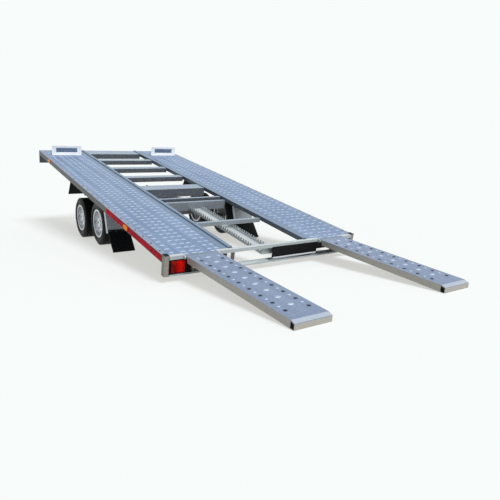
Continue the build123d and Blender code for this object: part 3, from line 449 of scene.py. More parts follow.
class Graph:
    """The nodes of one material, with its principled shader."""

    def __init__(self, name: str) -> None:
        """Starts a material whose patterns follow the object's own coordinates.

        Args:
            name: The material's name.
        """
        self.material = bpy.data.materials.new(name)
        self.material.use_nodes = True
        self.tree = self.material.node_tree
        self.shader = self.tree.nodes["Principled BSDF"]
        coordinates = self.add("ShaderNodeTexCoord")
        self.place = coordinates.outputs["Object"]
        self.normal = coordinates.outputs["Normal"]

    def feed(self, socket: Socket, value: object) -> None:
        """Links a socket to another one or sets its value.

        Args:
            socket: The socket to feed.
            value: A socket or a plain value.
        """
        if isinstance(value, bpy.types.NodeSocket):
            self.tree.links.new(value, socket)
        else:
            socket.default_value = value

    def add(self, kind: str, settings: dict[str, object] | None = None, **inputs: object) -> bpy.types.Node:
        """Adds a node.

        Args:
            kind: The node's type.
            settings: Values of its properties.
            inputs: A socket to link or a value for each input, by its name in lower case.

        Returns:
            The new node.
        """
        node = self.tree.nodes.new(kind)
        for name, value in (settings or {}).items():
            setattr(node, name, value)
        sockets = {socket.name.lower().replace(" ", "_"): socket for socket in reversed(node.inputs)}
        for name, value in inputs.items():
            self.feed(sockets[name], value)
        return node

    def set(self, name: str, value: object) -> None:
        """Links or sets one input of the shader."""
        self.feed(self.shader.inputs[name], value)

    def noise(self, scale: float, detail: float = 2) -> Socket:
        """Noise from 0 to 1 with so many waves a metre."""
        return self.add("ShaderNodeTexNoise", vector=self.place, scale=scale, detail=detail).outputs[0]

    def long_noise(self) -> Socket:
        """Noise drawn out along the tracks, as rolling leaves it."""
        drawn = self.add("ShaderNodeMapping", vector=self.place, scale=(0.35, 11, 0.35)).outputs[0]
        return self.add("ShaderNodeTexNoise", vector=drawn, scale=2.4, detail=3).outputs[0]

    def span(self, value: Socket, low: float, high: float, to_low: float = 0, to_high: float = 1) -> Socket:
        """Maps a value from one range to another and clamps it."""
        ends = {"from_min": low, "from_max": high, "to_min": to_low, "to_max": to_high}
        return self.add("ShaderNodeMapRange", value=value, **ends).outputs[0]

    def mix(self, share: Socket, first: Socket | Tint, second: Socket | Tint) -> Socket:
        """Mixes two colours.

        Args:
            share: How much of the second there is.
            first: The first colour.
            second: The second colour.

        Returns:
            The mixed colour.
        """
        node = self.add("ShaderNodeMix", {"data_type": "RGBA"})
        for index, value in ((0, share), (6, first), (7, second)):
            self.feed(node.inputs[index], value)
        return node.outputs[2]

    def facing_up(self) -> Socket:
        """1 on faces that look up from the sloping bed and 0 on upright and lower ones: the mask of the zinc's
        painted light and shade.
        """
        node = self.add("ShaderNodeVectorMath", {"operation": "DOT_PRODUCT"}, vector=self.normal)
        node.inputs[1].default_value = (-0.2, 0.0, 0.98)
        return self.span(node.outputs["Value"], 0.5, 0.85)

    def bump(self, height: Socket, strength: float, distance: float) -> None:
        """Lets a height in metres bump the surface."""
        node = self.add("ShaderNodeBump", height=height, strength=strength, distance=distance)
        self.set("Normal", node.outputs[0])


@dataclass(frozen=True)
class Finish:
    """A surface. Each kind of finish says how its nodes are made."""

    name: str

    def nodes(self, graph: Graph) -> None:
        """Makes the nodes of this finish."""
        raise NotImplementedError

    def material(self) -> bpy.types.Material:
        """The material, made the first time it is asked for. The frame's own go by other names."""
        known = bpy.data.materials.get(self.name)
        if known:
            return known
        graph = Graph(self.name)
        self.nodes(graph)
        return graph.material


@dataclass(frozen=True)
class Galvanised(Finish):
    """Hot-dip zinc: flowers of light and dark metal, with painted light and shade: bright above, the side tint on
    upright faces.
    """

    light: Tint
    dark: Tint
    # painted shade: the tint that upright and lower faces take in place of the top's
    side: Tint
    flower: float = 0.011
    sheen: float = 0.44
    metal: float = 0.45
    streak: float = 0.0
    index: float = 1.12

    def wall(self, graph: Graph) -> Socket | Tint:
        """The painted-shade tint of upright faces."""
        return self.side

    def nodes(self, graph: Graph) -> None:
        """Cells give the flowers, slow noise the clouds and streaks, and fine noise the grain.

        Args:
            graph: The nodes of the new material.
        """
        flowers = graph.add("ShaderNodeTexVoronoi", vector=graph.place, scale=1 / self.flower, randomness=1.0)
        tone = graph.add("ShaderNodeSeparateColor", color=flowers.outputs["Color"]).outputs[0]
        shades = graph.mix(graph.span(tone, 0, 1, 0.15, 0.85), self.dark, self.light)
        cloudy = graph.mix(graph.span(graph.noise(2.2, 3), 0.35, 0.7, 0, 0.55), shades, self.light)
        if self.streak:
            streaks = graph.span(graph.long_noise(), 0.42, 0.62, 0, self.streak)
            cloudy = graph.mix(streaks, cloudy, self.dark)
        # painted shade: upright and lower faces lean to the side tint by the way that they look
        painted_light_walls = graph.mix(graph.span(tone, 0, 1, 0, 0.25), self.wall(graph), cloudy)
        graph.set("Base Color", graph.mix(graph.facing_up(), painted_light_walls, cloudy))
        graph.set("Roughness", graph.span(tone, 0, 1, self.sheen - 0.07, self.sheen + 0.07))
        graph.set("Metallic", self.metal)
        graph.set("IOR", self.index)
        graph.bump(graph.noise(160, 2), 0.25, 0.0006)


@dataclass(frozen=True)
class BarZinc(Galvanised):
    """The cross bars' zinc, whose upright faces are in deep shade ahead and light at the rear."""

    rear_side: Tint = (0.3, 0.33, 0.36, 1.0)
    rear_end: float = -0.62

    def wall(self, graph: Graph) -> Socket | Tint:
        """The tint of upright faces, changing over a hand's width."""
        along = graph.add("ShaderNodeSeparateXYZ", vector=graph.place).outputs["X"]
        ahead = graph.span(along, self.rear_end - 0.05, self.rear_end + 0.05)
        return graph.mix(ahead, self.rear_side, self.side)


@dataclass(frozen=True)
class NoseZinc(Galvanised):
    """The nose plate's zinc, with painted shade: darker on its two ends than in front."""

    # painted shade on the plate's two ends
    end: Tint = (0.01, 0.009, 0.008, 1.0)

    def wall(self, graph: Graph) -> Socket | Tint:
        """The painted-shade tint of upright faces by the way that they look.

        Args:
            graph: The nodes of the new material.

        Returns:
            Its socket.
        """
        across = graph.add("ShaderNodeSeparateXYZ", vector=graph.normal).outputs["Y"]
        outwards = graph.add("ShaderNodeMath", {"operation": "ABSOLUTE"}, value=across).outputs[0]
        return graph.mix(graph.span(outwards, 0.5, 0.8), self.side, self.end)


@dataclass(frozen=True)
class Paint(Finish):
    """Sprayed paint with a little orange peel and dust in the hollows."""

    colour: Tint
    dust: Tint
    sheen: float = 0.35
    metal: float = 0.0
    peel: float = 0.15
    index: float = 1.5

    def nodes(self, graph: Graph) -> None:
        """Slow noise carries the dust, fine noise the orange peel.

        Args:
            graph: The nodes of the new material.
        """
        dusty = graph.span(graph.noise(9, 4), 0.5, 0.78, 0, 0.35)
        graph.set("Base Color", graph.mix(dusty, self.colour, self.dust))
        graph.set("Roughness", graph.span(graph.noise(14, 3), 0.3, 0.7, self.sheen - 0.06, self.sheen + 0.08))
        graph.set("Metallic", self.metal)
        graph.set("IOR", self.index)
        graph.bump(graph.noise(420, 1), self.peel, 0.0003)


@dataclass(frozen=True)
class Rubber(Finish):
    """Vulcanised rubber with a grey bloom and a fine grain."""

    colour: Tint
    bloom: Tint
    grain: float = 700
    sheen: float = 0.72

    def nodes(self, graph: Graph) -> None:
        """Two noises give the bloom, a fine one the grain.

        Args:
            graph: The nodes of the new material.
        """
        cloud = graph.span(graph.noise(26, 5), 0.45, 0.75, 0, 0.8)
        graph.set("Base Color", graph.mix(cloud, self.colour, self.bloom))
        graph.set("Roughness", graph.span(graph.noise(60, 2), 0.3, 0.7, self.sheen - 0.08, self.sheen + 0.08))
        graph.set("IOR", 1.25)
        graph.bump(graph.noise(self.grain, 2), 0.35, 0.0004)


@dataclass(frozen=True)
class Lens(Finish):
    """Moulded lamp lens: deep colour, a hard gloss and fine prism ribs."""

    colour: Tint
    deep: Tint
    rib: float = 0.006
    glow: float = 0.0

    def nodes(self, graph: Graph) -> None:
        """Waves give the prisms, slow noise the depth of the colour.

        Args:
            graph: The nodes of the new material.
        """
        ribs = graph.add(
            "ShaderNodeTexWave", {"bands_direction": "Y", "wave_profile": "SIN"},
            vector=graph.place, scale=1 / (self.rib * 6.283), distortion=0.0,
        )
        graph.set("Base Color", graph.mix(graph.span(graph.noise(18, 2), 0.35, 0.65), self.deep, self.colour))
        graph.set("Roughness", graph.span(graph.noise(40, 2), 0.3, 0.7, 0.10, 0.18))
        graph.set("IOR", 1.15)
        graph.set("Emission Color", self.colour)
        graph.set("Emission Strength", self.glow)
        graph.bump(ribs.outputs["Fac"], 0.5, 0.0008)


@dataclass(frozen=True)
class ReflexFilm(Finish):
    """Retro-reflective film: a net of small cells under a glossy face."""

    colour: Tint
    cell_colour: Tint
    cell: float = 0.004

    def nodes(self, graph: Graph) -> None:
        """Cell edges give the net, slow noise a faint change of tone.

        Args:
            graph: The nodes of the new material.
        """
        cells = graph.add(
            "ShaderNodeTexVoronoi", {"feature": "DISTANCE_TO_EDGE"},
            vector=graph.place, scale=1 / self.cell, randomness=0.15,
        )
        net = graph.span(cells.outputs["Distance"], 0.02, 0.10)
        face = graph.mix(graph.span(graph.noise(6, 2), 0.3, 0.7), self.cell_colour, self.colour)
        graph.set("Base Color", graph.mix(net, self.cell_colour, face))
        graph.set("Roughness", graph.span(graph.noise(30, 2), 0.3, 0.7, 0.42, 0.55))
        graph.set("IOR", 1.12)
        graph.bump(net, 0.2, 0.0002)


@dataclass(frozen=True)
class BrightMetal(Finish):
    """Polished or plated metal with faint machining marks."""

    colour: Tint
    worn: Tint
    sheen: float = 0.16

    def nodes(self, graph: Graph) -> None:
        """Fine noise varies the gloss and the surface.

        Args:
            graph: The nodes of the new material.
        """
        wear = graph.span(graph.noise(24, 3), 0.3, 0.7, 0, 0.5)
        graph.set("Base Color", graph.mix(wear, self.colour, self.worn))
        graph.set("Roughness", graph.span(graph.noise(80, 2), 0.3, 0.7, self.sheen - 0.05, self.sheen + 0.08))
        graph.set("Metallic", 1.0)
        graph.bump(graph.noise(300, 2), 0.1, 0.0002)


class Slot(Enum):
    """The record's material slots, with the finish of each."""

    # The third colour of each zinc is its side tint: painted light and shade for upright and lower faces.
    deck_steel = Galvanised(
        "deck_zinc", screen(146, 168, 200), screen(112, 134, 166), screen(104, 99, 93),
        flower=0.012, sheen=0.42, metal=0.35, streak=0.6,
    )
    rail_steel = Galvanised(
        "rail_zinc", screen(156, 172, 195), screen(130, 146, 168), screen(106, 101, 94),
        flower=0.010, sheen=0.42, metal=0.35,
    )
    ramp_steel = Galvanised(
        "ramp_zinc", screen(150, 166, 194), screen(116, 133, 163), screen(188, 182, 170),
        flower=0.012, sheen=0.38, metal=0.35, streak=0.3,
    )
    chassis_steel = Galvanised(
        "chassis_zinc", screen(186, 188, 188), screen(158, 160, 162), screen(124, 124, 122),
        flower=0.010, sheen=0.46, metal=0.35,
    )
    coupling_casting = Galvanised(
        "casting_zinc", screen(168, 170, 172), screen(132, 134, 138), screen(120, 120, 120),
        flower=0.003, sheen=0.5, metal=0.4,
    )
    black_steel = Paint("black_paint", screen(20, 20, 22), screen(46, 46, 46), sheen=0.4, index=1.2)
    chrome_rod = BrightMetal("polished_rod", screen(232, 233, 235), screen(190, 192, 195))
    tyre_rubber = Rubber("tyre_black", screen(18, 18, 20), screen(38, 37, 36), sheen=0.5)
    rim_paint = Paint("rim_silver", screen(214, 217, 221), screen(176, 177, 178), sheen=0.26, metal=0.7)
    black_rubber = Rubber("flap_rubber", screen(16, 17, 19), screen(36, 37, 39), grain=400, sheen=0.5)
    black_plastic = Paint(
        "panel_black", screen(12, 13, 15), screen(30, 32, 35), sheen=0.45, peel=0.3, index=1.18
    )
    white_board = Paint("board_white", screen(250, 252, 253), screen(228, 231, 234), sheen=0.4)
    red_film = ReflexFilm("reflex_red", screen(238, 24, 54), screen(188, 10, 34))
    red_lens = Lens("stop_red", screen(206, 10, 4), screen(128, 2, 2), glow=0.10)
    orange_lens = Lens("marker_amber", screen(252, 160, 30), screen(205, 96, 6), rib=0.005, glow=0.15)


class OwnAndPaintedLightFinish(Enum):
    """Finishes of single pieces that differ from the rest of their slot. All zinc ones but the tip's are lit or
    shaded copies: painted light and shade.
    """

    # painted highlight: studs and domes paler than the sheet they stand on
    stud_tops = Galvanised(
        "stud_zinc", screen(198, 211, 231), screen(176, 192, 216), screen(128, 144, 170),
        flower=0.012, sheen=0.55, metal=0.25,
    )
    tip_zinc = Galvanised(
        "tip_zinc", screen(188, 198, 212), screen(168, 180, 197), screen(150, 152, 152),
        flower=0.010, sheen=0.40, metal=0.3,
    )
    # painted shade: dark collars round the ramp's holes
    shaded_zinc = Galvanised(
        "hole_zinc", screen(92, 104, 124), screen(70, 80, 98), screen(48, 52, 60),
        flower=0.012, sheen=0.45, metal=0.3,
    )
    # painted light: a paler, lit copy of the zinc for the plank, the rear bar and small parts
    bright_zinc = Galvanised(
        "step_zinc", screen(212, 219, 222), screen(192, 200, 204), screen(180, 187, 190),
        flower=0.009, sheen=0.46, metal=0.3,
    )
    # painted shade: a darker copy of the deck's zinc on the inner band
    band_zinc = Galvanised(
        "band_zinc", screen(132, 153, 178), screen(112, 134, 160), screen(96, 102, 108),
        flower=0.012, sheen=0.36, metal=0.45,
    )
    bar_zinc = BarZinc(
        "bar_zinc", screen(168, 183, 200), screen(142, 158, 176), screen(84, 87, 92),
        flower=0.010, sheen=0.40, metal=0.3,
    )
    nose_zinc = NoseZinc(
        "nose_zinc", screen(160, 177, 200), screen(136, 154, 178), screen(104, 107, 112),
        flower=0.010, sheen=0.40, metal=0.08, index=1.04,
    )
    # painted light: a paler, warmer copy of the zinc on the corner posts
    post_zinc = Galvanised(
        "post_zinc", screen(200, 197, 190), screen(180, 176, 168), screen(150, 145, 136),
        flower=0.010, sheen=0.42, metal=0.3,
    )
    # painted light: near-white zinc, so that the sheets in the deck's shadow show lit
    guard_zinc = Galvanised(
        "guard_zinc", screen(240, 244, 248), screen(214, 222, 232), screen(226, 232, 238),
        flower=0.014, sheen=0.34, metal=0.3,
    )
    pad_rubber = Rubber("pad_grey", screen(96, 112, 134), screen(122, 138, 158), grain=500, sheen=0.5)
    smoked_lens = Lens("smoked_lens", screen(58, 8, 10), screen(20, 2, 4))
    amber_lens = Lens("amber_lens", screen(150, 26, 10), screen(70, 6, 6), glow=0.08)


# Sub-assemblies


@dataclass(frozen=True)
class FramePieces:
    """The construction's own pieces, which stay as they are and get their surfaces here."""

    # Most of these finishes are lit or shaded copies of the zinc: painted light and shade.
    own: tuple[tuple[str, OwnAndPaintedLightFinish], ...] = (
        ("inner_rail", OwnAndPaintedLightFinish.band_zinc),
        ("cross_members", OwnAndPaintedLightFinish.bar_zinc),
        ("pivot_beam", OwnAndPaintedLightFinish.bar_zinc),
        ("step_plank", OwnAndPaintedLightFinish.bright_zinc),
        ("rear_bar", OwnAndPaintedLightFinish.bright_zinc),
        ("rear_foot", OwnAndPaintedLightFinish.bright_zinc),
        ("rear_uprights", OwnAndPaintedLightFinish.post_zinc),
        ("rear_guards", OwnAndPaintedLightFinish.guard_zinc),
        ("nose_plate", OwnAndPaintedLightFinish.nose_zinc),
        ("plate_rail", OwnAndPaintedLightFinish.bright_zinc),
        ("tail_lamps", OwnAndPaintedLightFinish.smoked_lens),
    )

    def build(self) -> None:
        """Gives each node the finish of its slot, or its own where it has one."""
        for row in frame["record"]["subparts"]:
            node = row["node"]
            finish = Slot[row["material_slot"]].value
            for start, worn in self.own:
                if node.startswith(start):
                    finish = worn.value
            materials = frame["nodes"][node].data.materials
            materials.clear()
            materials.append(finish.material())
            LOG.info("%s: %s", node, finish.name)


@dataclass(frozen=True)
class Stud:
    """An oval stud pressed up out of a plate, its long way across."""

    long: float
    wide: float
    height: float
    facets: int

    def model(self, name: str) -> Piece:
        """A low dome drawn up ring by ring, closed below.

        Args:
            name: The piece's name.

        Returns:
            The stud about the origin.
        """
        half = self.wide / 2
        dome = (
            (half, -SUNK),
            (half * 0.86, self.height * 0.55),
            (half * 0.55, self.height),
            (0, self.height),
        )
        stud = new_turned(name, dome, self.facets)
        with editing(stud):
            bpy.ops.mesh.select_all(action="SELECT")
            bpy.ops.transform.resize(value=(1, self.long / self.wide, 1), center_override=(0, 0, 0))
        return stud


@dataclass(frozen=True)
class ShadeWell:
    """A black cup under a hole, painted shade that makes the hole show dark as a hollow plate does."""

    radius: float
    sheet: float
    depth: float = 0.012
    wall: float = 0.0015

    def model(self, name: str) -> Piece:
        """Draws the cup up outside and down inside.

        Args:
            name: The piece's name.

        Returns:
            The cup about the origin, open above, with the plate's top at 0.
        """
        outer = self.radius + self.wall
        profile = (
            (outer, -self.sheet - self.depth - self.wall),
            (outer, -self.sheet),
            (self.radius, -self.sheet),
            (self.radius, -self.sheet - self.depth),
            (0, -self.sheet - self.depth),
        )
        return new_turned(name, profile, 16)


@dataclass(frozen=True)
class Tracks:
    """The studs of both tracks and the sill plates that carry them on over the rear bar."""

    bed: Bed
    stud: Stud = Stud(0.054, 0.017, 0.0028, 12)
    rows: tuple[float, ...] = (0.555, 0.620, 0.735, 0.800, 0.872, 0.983)
    pitch: float = 0.090
    first: float = 0.078
    sill_thickness: float = 0.0015
    sill_width: float = 0.310
    sill_side: float = 0.740
    slots: int = 24
    first_slot: float = 0.152
    slot_pitch: float = 0.183
    slot_side: float = 1.0525
    slot_long: float = 0.026
    slot_wide: float = 0.012
    flange: float = 0.0045

    def wells(self, name: str, side: int) -> None:
        """Sets an oval black cup under each lashing slot of a side rail, as painted shade.

        Args:
            name: Which track, left or right.
            side: 1 to the left and -1 to the right.
        """
        shade_well = ShadeWell(self.slot_long / 2, self.flange)
        narrow = Matrix.Diagonal((1, self.slot_wide / self.slot_long, 1, 1))
        places = [
            self.bed.at(self.first_slot + index * self.slot_pitch, side * self.slot_side) @ narrow
            for index in range(self.slots)
        ]
        hand_over(copy_at(shade_well.model(f"slot_wells_{name}"), places), "bed", Slot.black_plastic)

    def studs(self, name: str, side: int) -> None:
        """Lays one track's studs in straight rows.

        Args:
            name: Which track, left or right.
            side: 1 to the left and -1 to the right.
        """
        model = self.stud.model(f"deck_studs_{name}")
        count = int((self.bed.length - self.first) / self.pitch)
        repeat_along(model, count, (self.pitch, 0, 0))
        places = [self.bed.at(self.first, side * row) for row in self.rows]
        # painted highlight: the studs take a paler zinc than the deck
        hand_over(copy_at(model, places), "bed", Slot.deck_steel, OwnAndPaintedLightFinish.stud_tops)

    def sill(self, name: str, side: int) -> None:
        """Lays the thin plate over the rear bar, with the studs of its rows.

        Args:
            name: Which track, left or right.
            side: 1 to the left and -1 to the right.
        """
        middle = self.bed.rear_bar / 2
        plate = new_box(
            f"sill_plate_{name}",
            (self.bed.rear_bar, self.sill_width, self.sill_thickness),
            (middle, side * self.sill_side, self.sill_thickness / 2),
        )
        round_edges(plate, 0.0005, 1)
        plate.data.transform(self.bed.axes)
        hand_over(plate, "bed", Slot.deck_steel)
        reach = self.sill_width / 2
        places = [
            self.bed.at(middle, side * row, self.sill_thickness)
            for row in self.rows if abs(row - self.sill_side) < reach
        ]
        studs = copy_at(self.stud.model(f"sill_studs_{name}"), places)
        hand_over(studs, "bed", Slot.deck_steel, OwnAndPaintedLightFinish.stud_tops)

    def build(self) -> None:
        """Dresses both tracks."""
        for name, side in SIDES.items():
            self.studs(name, side)
            self.sill(name, side)
            self.wells(name, side)


@dataclass(frozen=True)
class RampTread:
    """Collars, domes and end plugs of a ramp."""

    first: float = 0.1665
    pitch: float = 0.1365
    hole_side: float = 0.097
    hole_radius: float = 0.011
    holes: int = 9
    collar_height: float = 0.0024
    collar_fall: float = 0.004
    large: Stud = Stud(0.050, 0.034, 0.0045, 18)
    small: Stud = Stud(0.026, 0.020, 0.0030, 14)
    plug_inset: float = 0.0035
    plug_rim: float = 0.004
    plug_hollow: float = 0.0015
    tube: float = 0.042
    plate_inset: float = 0.003
    plate_thickness: float = 0.0012

    def collar(self, name: str) -> Piece:
        """Draws the dished edge of a hole: a low ring that falls into it.

        Args:
            name: The piece's name.

        Returns:
            The ring about the origin.
        """
        rim = self.hole_radius
        profile = (
            (rim * 1.5, -SUNK),
            (rim * 1.3, self.collar_height),
            (rim * 1.1, self.collar_height * 0.8),
            (rim * 0.97, -self.collar_fall),
            (rim * 1.2, -self.collar_fall),
        )
        return new_turned(name, profile, 16, ring=True)

    def plugs(self, name: str, ramp: Ramp) -> None:
        """Closes both ends of the tip's tube with ribbed plastic plugs.

        Args:
            name: Which ramp, left or right.
            ramp: Its place and sizes.
        """
        reach = self.tube - 2 * self.plug_inset
        low = ramp.hinge_to_top - ramp.depth + self.plug_inset
        high = ramp.hinge_to_top - self.plug_inset
        along = self.tube / 2 - ramp.length
        rear = along - reach / 2
        ends = []
        for way in (1, -1):
            across = ramp.middle + way * (ramp.width / 2 - 0.004)
            plug = new_box(f"tube_plugs_{name}", (reach, 0.005, high - low), (along, across, (low + high) / 2))
            with editing(plug):
                pick_edges(plug, lambda a, b: max(a.x, b.x) < rear + 1e-4 and min(a.z, b.z) > 0)
                bpy.ops.transform.translate(value=(0, 0, -ramp.bevel_drop))
                pick_faces(plug, lambda centre, normal: normal.y * way > FACING)
                bpy.ops.mesh.inset(thickness=self.plug_rim)
                bpy.ops.transform.translate(value=(0, -way * self.plug_hollow, 0))
            round_edges(plug, 0.0008)
            ends.append(plug)
        hand_over(join(ends, f"tube_plugs_{name}", ramp.axes), f"ramp_{name}", Slot.black_plastic)

    def wear_plate(self, name: str, ramp: Ramp) -> None:
        """Lays a bright wear plate on the bevel of the tip.

        Args:
            name: Which ramp, left or right.
            ramp: Its place and sizes.
        """
        slope = math.atan2(ramp.bevel_drop, self.tube)
        long = self.tube / math.cos(slope) - 2 * self.plate_inset
        size = (long, ramp.width - 2 * self.plate_inset, self.plate_thickness)
        plate = new_plate(f"wear_plate_{name}", size, ORIGIN, 0.006)
        round_edges(plate, 0.0004, 1)
        level = ramp.hinge_to_top - ramp.bevel_drop / 2 + self.plate_thickness / 2
        middle = Matrix.Translation((self.tube / 2 - ramp.length, ramp.middle, level))
        plate.data.transform(ramp.axes @ middle @ Matrix.Rotation(-slope, 4, "Y"))
        hand_over(plate, f"ramp_{name}", Slot.ramp_steel, OwnAndPaintedLightFinish.tip_zinc)

    def build(self) -> None:
        """Dresses both ramps."""
        shade_well = ShadeWell(self.hole_radius * 0.96, 0.0035)
        for name in SIDES:
            ramp = Ramp(name)
            lay = ramp.axes @ Matrix.Translation((0, ramp.middle, ramp.hinge_to_top))
            holes, large, small = [], [], []
            for index in range(self.holes):
                along = -self.first - index * self.pitch
                half_way = along + self.pitch / 2
                large.append(lay @ Matrix.Translation((half_way, 0, 0)))
                for way in (1, -1):
                    holes.append(lay @ Matrix.Translation((along, way * self.hole_side, 0)))
                    small.append(lay @ Matrix.Translation((half_way, way * self.hole_side, 0)))
            # Painted shade: dark collars and black cups make the holes show dark; painted highlight: the domes and
            # studs are pale.
            pieces = (
                (self.collar(f"ramp_collars_{name}"), holes, OwnAndPaintedLightFinish.shaded_zinc),
                (shade_well.model(f"ramp_wells_{name}"), holes, Slot.black_plastic),
                (self.large.model(f"ramp_domes_{name}"), large, OwnAndPaintedLightFinish.stud_tops),
                (self.small.model(f"ramp_studs_{name}"), small, OwnAndPaintedLightFinish.stud_tops),
            )
            for model, places, finish in pieces:
                hand_over(copy_at(model, places), f"ramp_{name}", Slot.ramp_steel, finish)
            self.plugs(name, ramp)
            self.wear_plate(name, ramp)


@dataclass(frozen=True)
class RearFittings:
    """What sits between and on the corner posts: lamps, number panel and caps."""

    bed: Bed
    lamp_middle: float = 0.9297
    lamp_width: float = 0.198
    lamp_height: float = 0.125
    lamp_level: float = -0.0975
    lamp_face: float = 0.0078
    frame_depth: float = 0.011
    frame_width: float = 0.007
    lens_depth: float = 0.009
    lens_rim: float = 0.006
    chambers: tuple[tuple[str, float, float, Slot, OwnAndPaintedLightFinish | None], ...] = (
        ("reversing", -0.066, 0.040, Slot.red_lens, OwnAndPaintedLightFinish.smoked_lens),
        ("stop", -0.004, 0.080, Slot.red_lens, None),
        ("turn", 0.062, 0.046, Slot.orange_lens, OwnAndPaintedLightFinish.amber_lens),
    )
    panel_box: tuple[float, float, float] = (0.006, 0.550, 0.100)
    panel_place: tuple[float, float, float] = (-0.003, -0.290, -0.076)
    cap_size: tuple[float, float, float] = (0.056, 0.041, 0.004)
    cap_place: tuple[float, float, float] = (0.030, 1.0525, 0.006)
    web_box: tuple[float, float, float] = (0.004, 0.352, 0.086)
    web_place: tuple[float, float, float] = (0.046, 0.630, -0.079)

    def housing(self, side: int) -> Piece:
        """Hollows the face of a lamp's black housing and rounds its edges.

        Args:
            side: 1 on the left and -1 on the right.

        Returns:
            The housing in the bed's axes.
        """
        box = new_box(
            "lamp_frames",
            (self.frame_depth, self.lamp_width, self.lamp_height),
            (self.lamp_face - self.frame_depth / 2, side * self.lamp_middle, self.lamp_level),
        )
        press(box, REAR, self.frame_width, self.frame_depth * 0.75)
        round_edges(box, 0.002)
        return box

    def lens(self, name: str, side: int, shift: float, width: float) -> Piece:
        """One pillow-shaped lens with a raised field.

        Args:
            name: The piece's name.
            side: 1 on the left and -1 on the right.
            shift: How far its middle lies outwards from the lamp's.
            width: Its width.

        Returns:
            The lens in the bed's axes.
        """
        height = self.lamp_height - 2.4 * self.frame_width
        place = (self.lamp_face - 0.005, side * (self.lamp_middle + shift), self.lamp_level)
        lens = new_box(name, (self.lens_depth, width, height), place)
        with editing(lens):
            pick_faces(lens, lambda centre, normal: normal.x < -FACING)
            bpy.ops.mesh.inset(thickness=self.lens_rim)
            draw_out((-0.003, 0, 0), (1, 0.8, 0.9), Vector(place))
        round_edges(lens, 0.0025, 3)
        return lens

    def lamps(self) -> None:
        """Builds both tail lamps."""
        housings = [self.housing(side) for side in SIDES.values()]
        hand_over(join(housings, "lamp_frames", self.bed.axes), "bed", Slot.black_plastic)
        for name, shift, width, slot, worn in self.chambers:
            pair = [self.lens(f"{name}_lenses", side, shift, width) for side in SIDES.values()]
            hand_over(join(pair, f"{name}_lenses", self.bed.axes), "bed", slot, worn)

    def panel(self) -> None:
        """Presses a shallow field with a raised rim into the blank number panel."""
        panel = new_box("number_panel", self.panel_box, self.panel_place)
        with editing(panel):
            pick_faces(panel, lambda centre, normal: normal.x < -FACING)
            for rim, depth in ((0.005, 0.0015), (0.002, 0.0008)):
                bpy.ops.mesh.inset(thickness=rim)
                draw_out((depth, 0, 0))
        round_edges(panel, 0.0015)
        panel.data.transform(self.bed.axes)
        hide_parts("plate_panel")
        hand_over(panel, "bed", Slot.black_plastic)

    def caps(self) -> None:
        """Closes the corner posts above with plastic caps."""
        caps = []
        along, across, level = self.cap_place
        for side in SIDES.values():
            cap = new_box("post_caps", self.cap_size, (along, side * across, level))
            with editing(cap):
                pick_faces(cap, lambda centre, normal: normal.z > FACING)
                bpy.ops.mesh.inset(thickness=0.006)
                bpy.ops.transform.translate(value=(0, 0, 0.001))
            round_edges(cap, 0.0015, 3)
            caps.append(cap)
        hand_over(join(caps, "post_caps", self.bed.axes), "bed", Slot.black_plastic)

    def webs(self) -> None:
        """Closes the frame behind each ramp's root with a pressed dark plate."""
        webs = []
        along, across, level = self.web_place
        for side in SIDES.values():
            web = new_box("rear_webs", self.web_box, (along, side * across, level))
            press(web, REAR, 0.012, 0.0015)
            round_edges(web, 0.001)
            webs.append(web)
        hand_over(join(webs, "rear_webs", self.bed.axes), "bed", Slot.black_steel)

    def build(self) -> None:
        """Makes the lamps, the panel, the caps and the webs."""
        self.lamps()
        self.panel()
        self.caps()
        self.webs()


@dataclass(frozen=True)
class WheelStops:
    """The stops' boards, pressed with a turned-in edge, and the feet of their frames."""

    bed: Bed
    board: tuple[float, float, float] = (0.004, 0.424, 0.140)
    place: float = 4.152
    side: float = 0.770
    gap: float = 0.004
    leg: float = 0.170
    pad: tuple[float, float, float] = (0.003, 0.300, 0.060)
    pad_level: float = 0.082
    foot: tuple[float, float, float] = (0.150, 0.046, 0.003)
    foot_place: float = 4.224

    def boards(self) -> None:
        """Makes both boards with rounded corners and a shallow field."""
        pair = []
        for side in SIDES.values():
            place = (self.place, side * self.side, self.gap + self.board[2] / 2)
            board = new_plate("stop_panels", self.board, place, 0.012, 4)
            for way in (REAR, FRONT):
                press(board, way, 0.009, 0.0012)
            round_edges(board, 0.0007)
            pair.append(board)
        boards = join(pair, "stop_panels", self.bed.axes)
        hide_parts("stop_boards")
        hand_over(boards, "bed", Slot.white_board)

    def pads(self) -> None:
        """Sets a plain grey pad into the field of each board."""
        pads = []
        for side in SIDES.values():
            place = (self.place - self.board[0] / 2, side * self.side, self.pad_level)
            pads.append(new_plate("stop_pads", self.pad, place, 0.006))
            round_edges(pads[-1], 0.0006)
        hand_over(join(pads, "stop_pads", self.bed.axes), "bed", Slot.black_rubber, OwnAndPaintedLightFinish.pad_rubber)

    def feet(self) -> None:
        """Lays a foot plate under each leg."""
        feet = []
        for side in SIDES.values():
            for way in (1, -1):
                place = (self.foot_place, side * self.side + way * self.leg, self.foot[2] / 2)
                feet.append(new_plate("stop_feet", self.foot, place, 0.010))
                round_edges(feet[-1], 0.0006, 1)
        hand_over(join(feet, "stop_feet", self.bed.axes), "bed", Slot.rail_steel, OwnAndPaintedLightFinish.bright_zinc)

    def build(self) -> None:
        """Makes the boards, their pads and their feet."""
        self.boards()
        self.pads()
        self.feet()


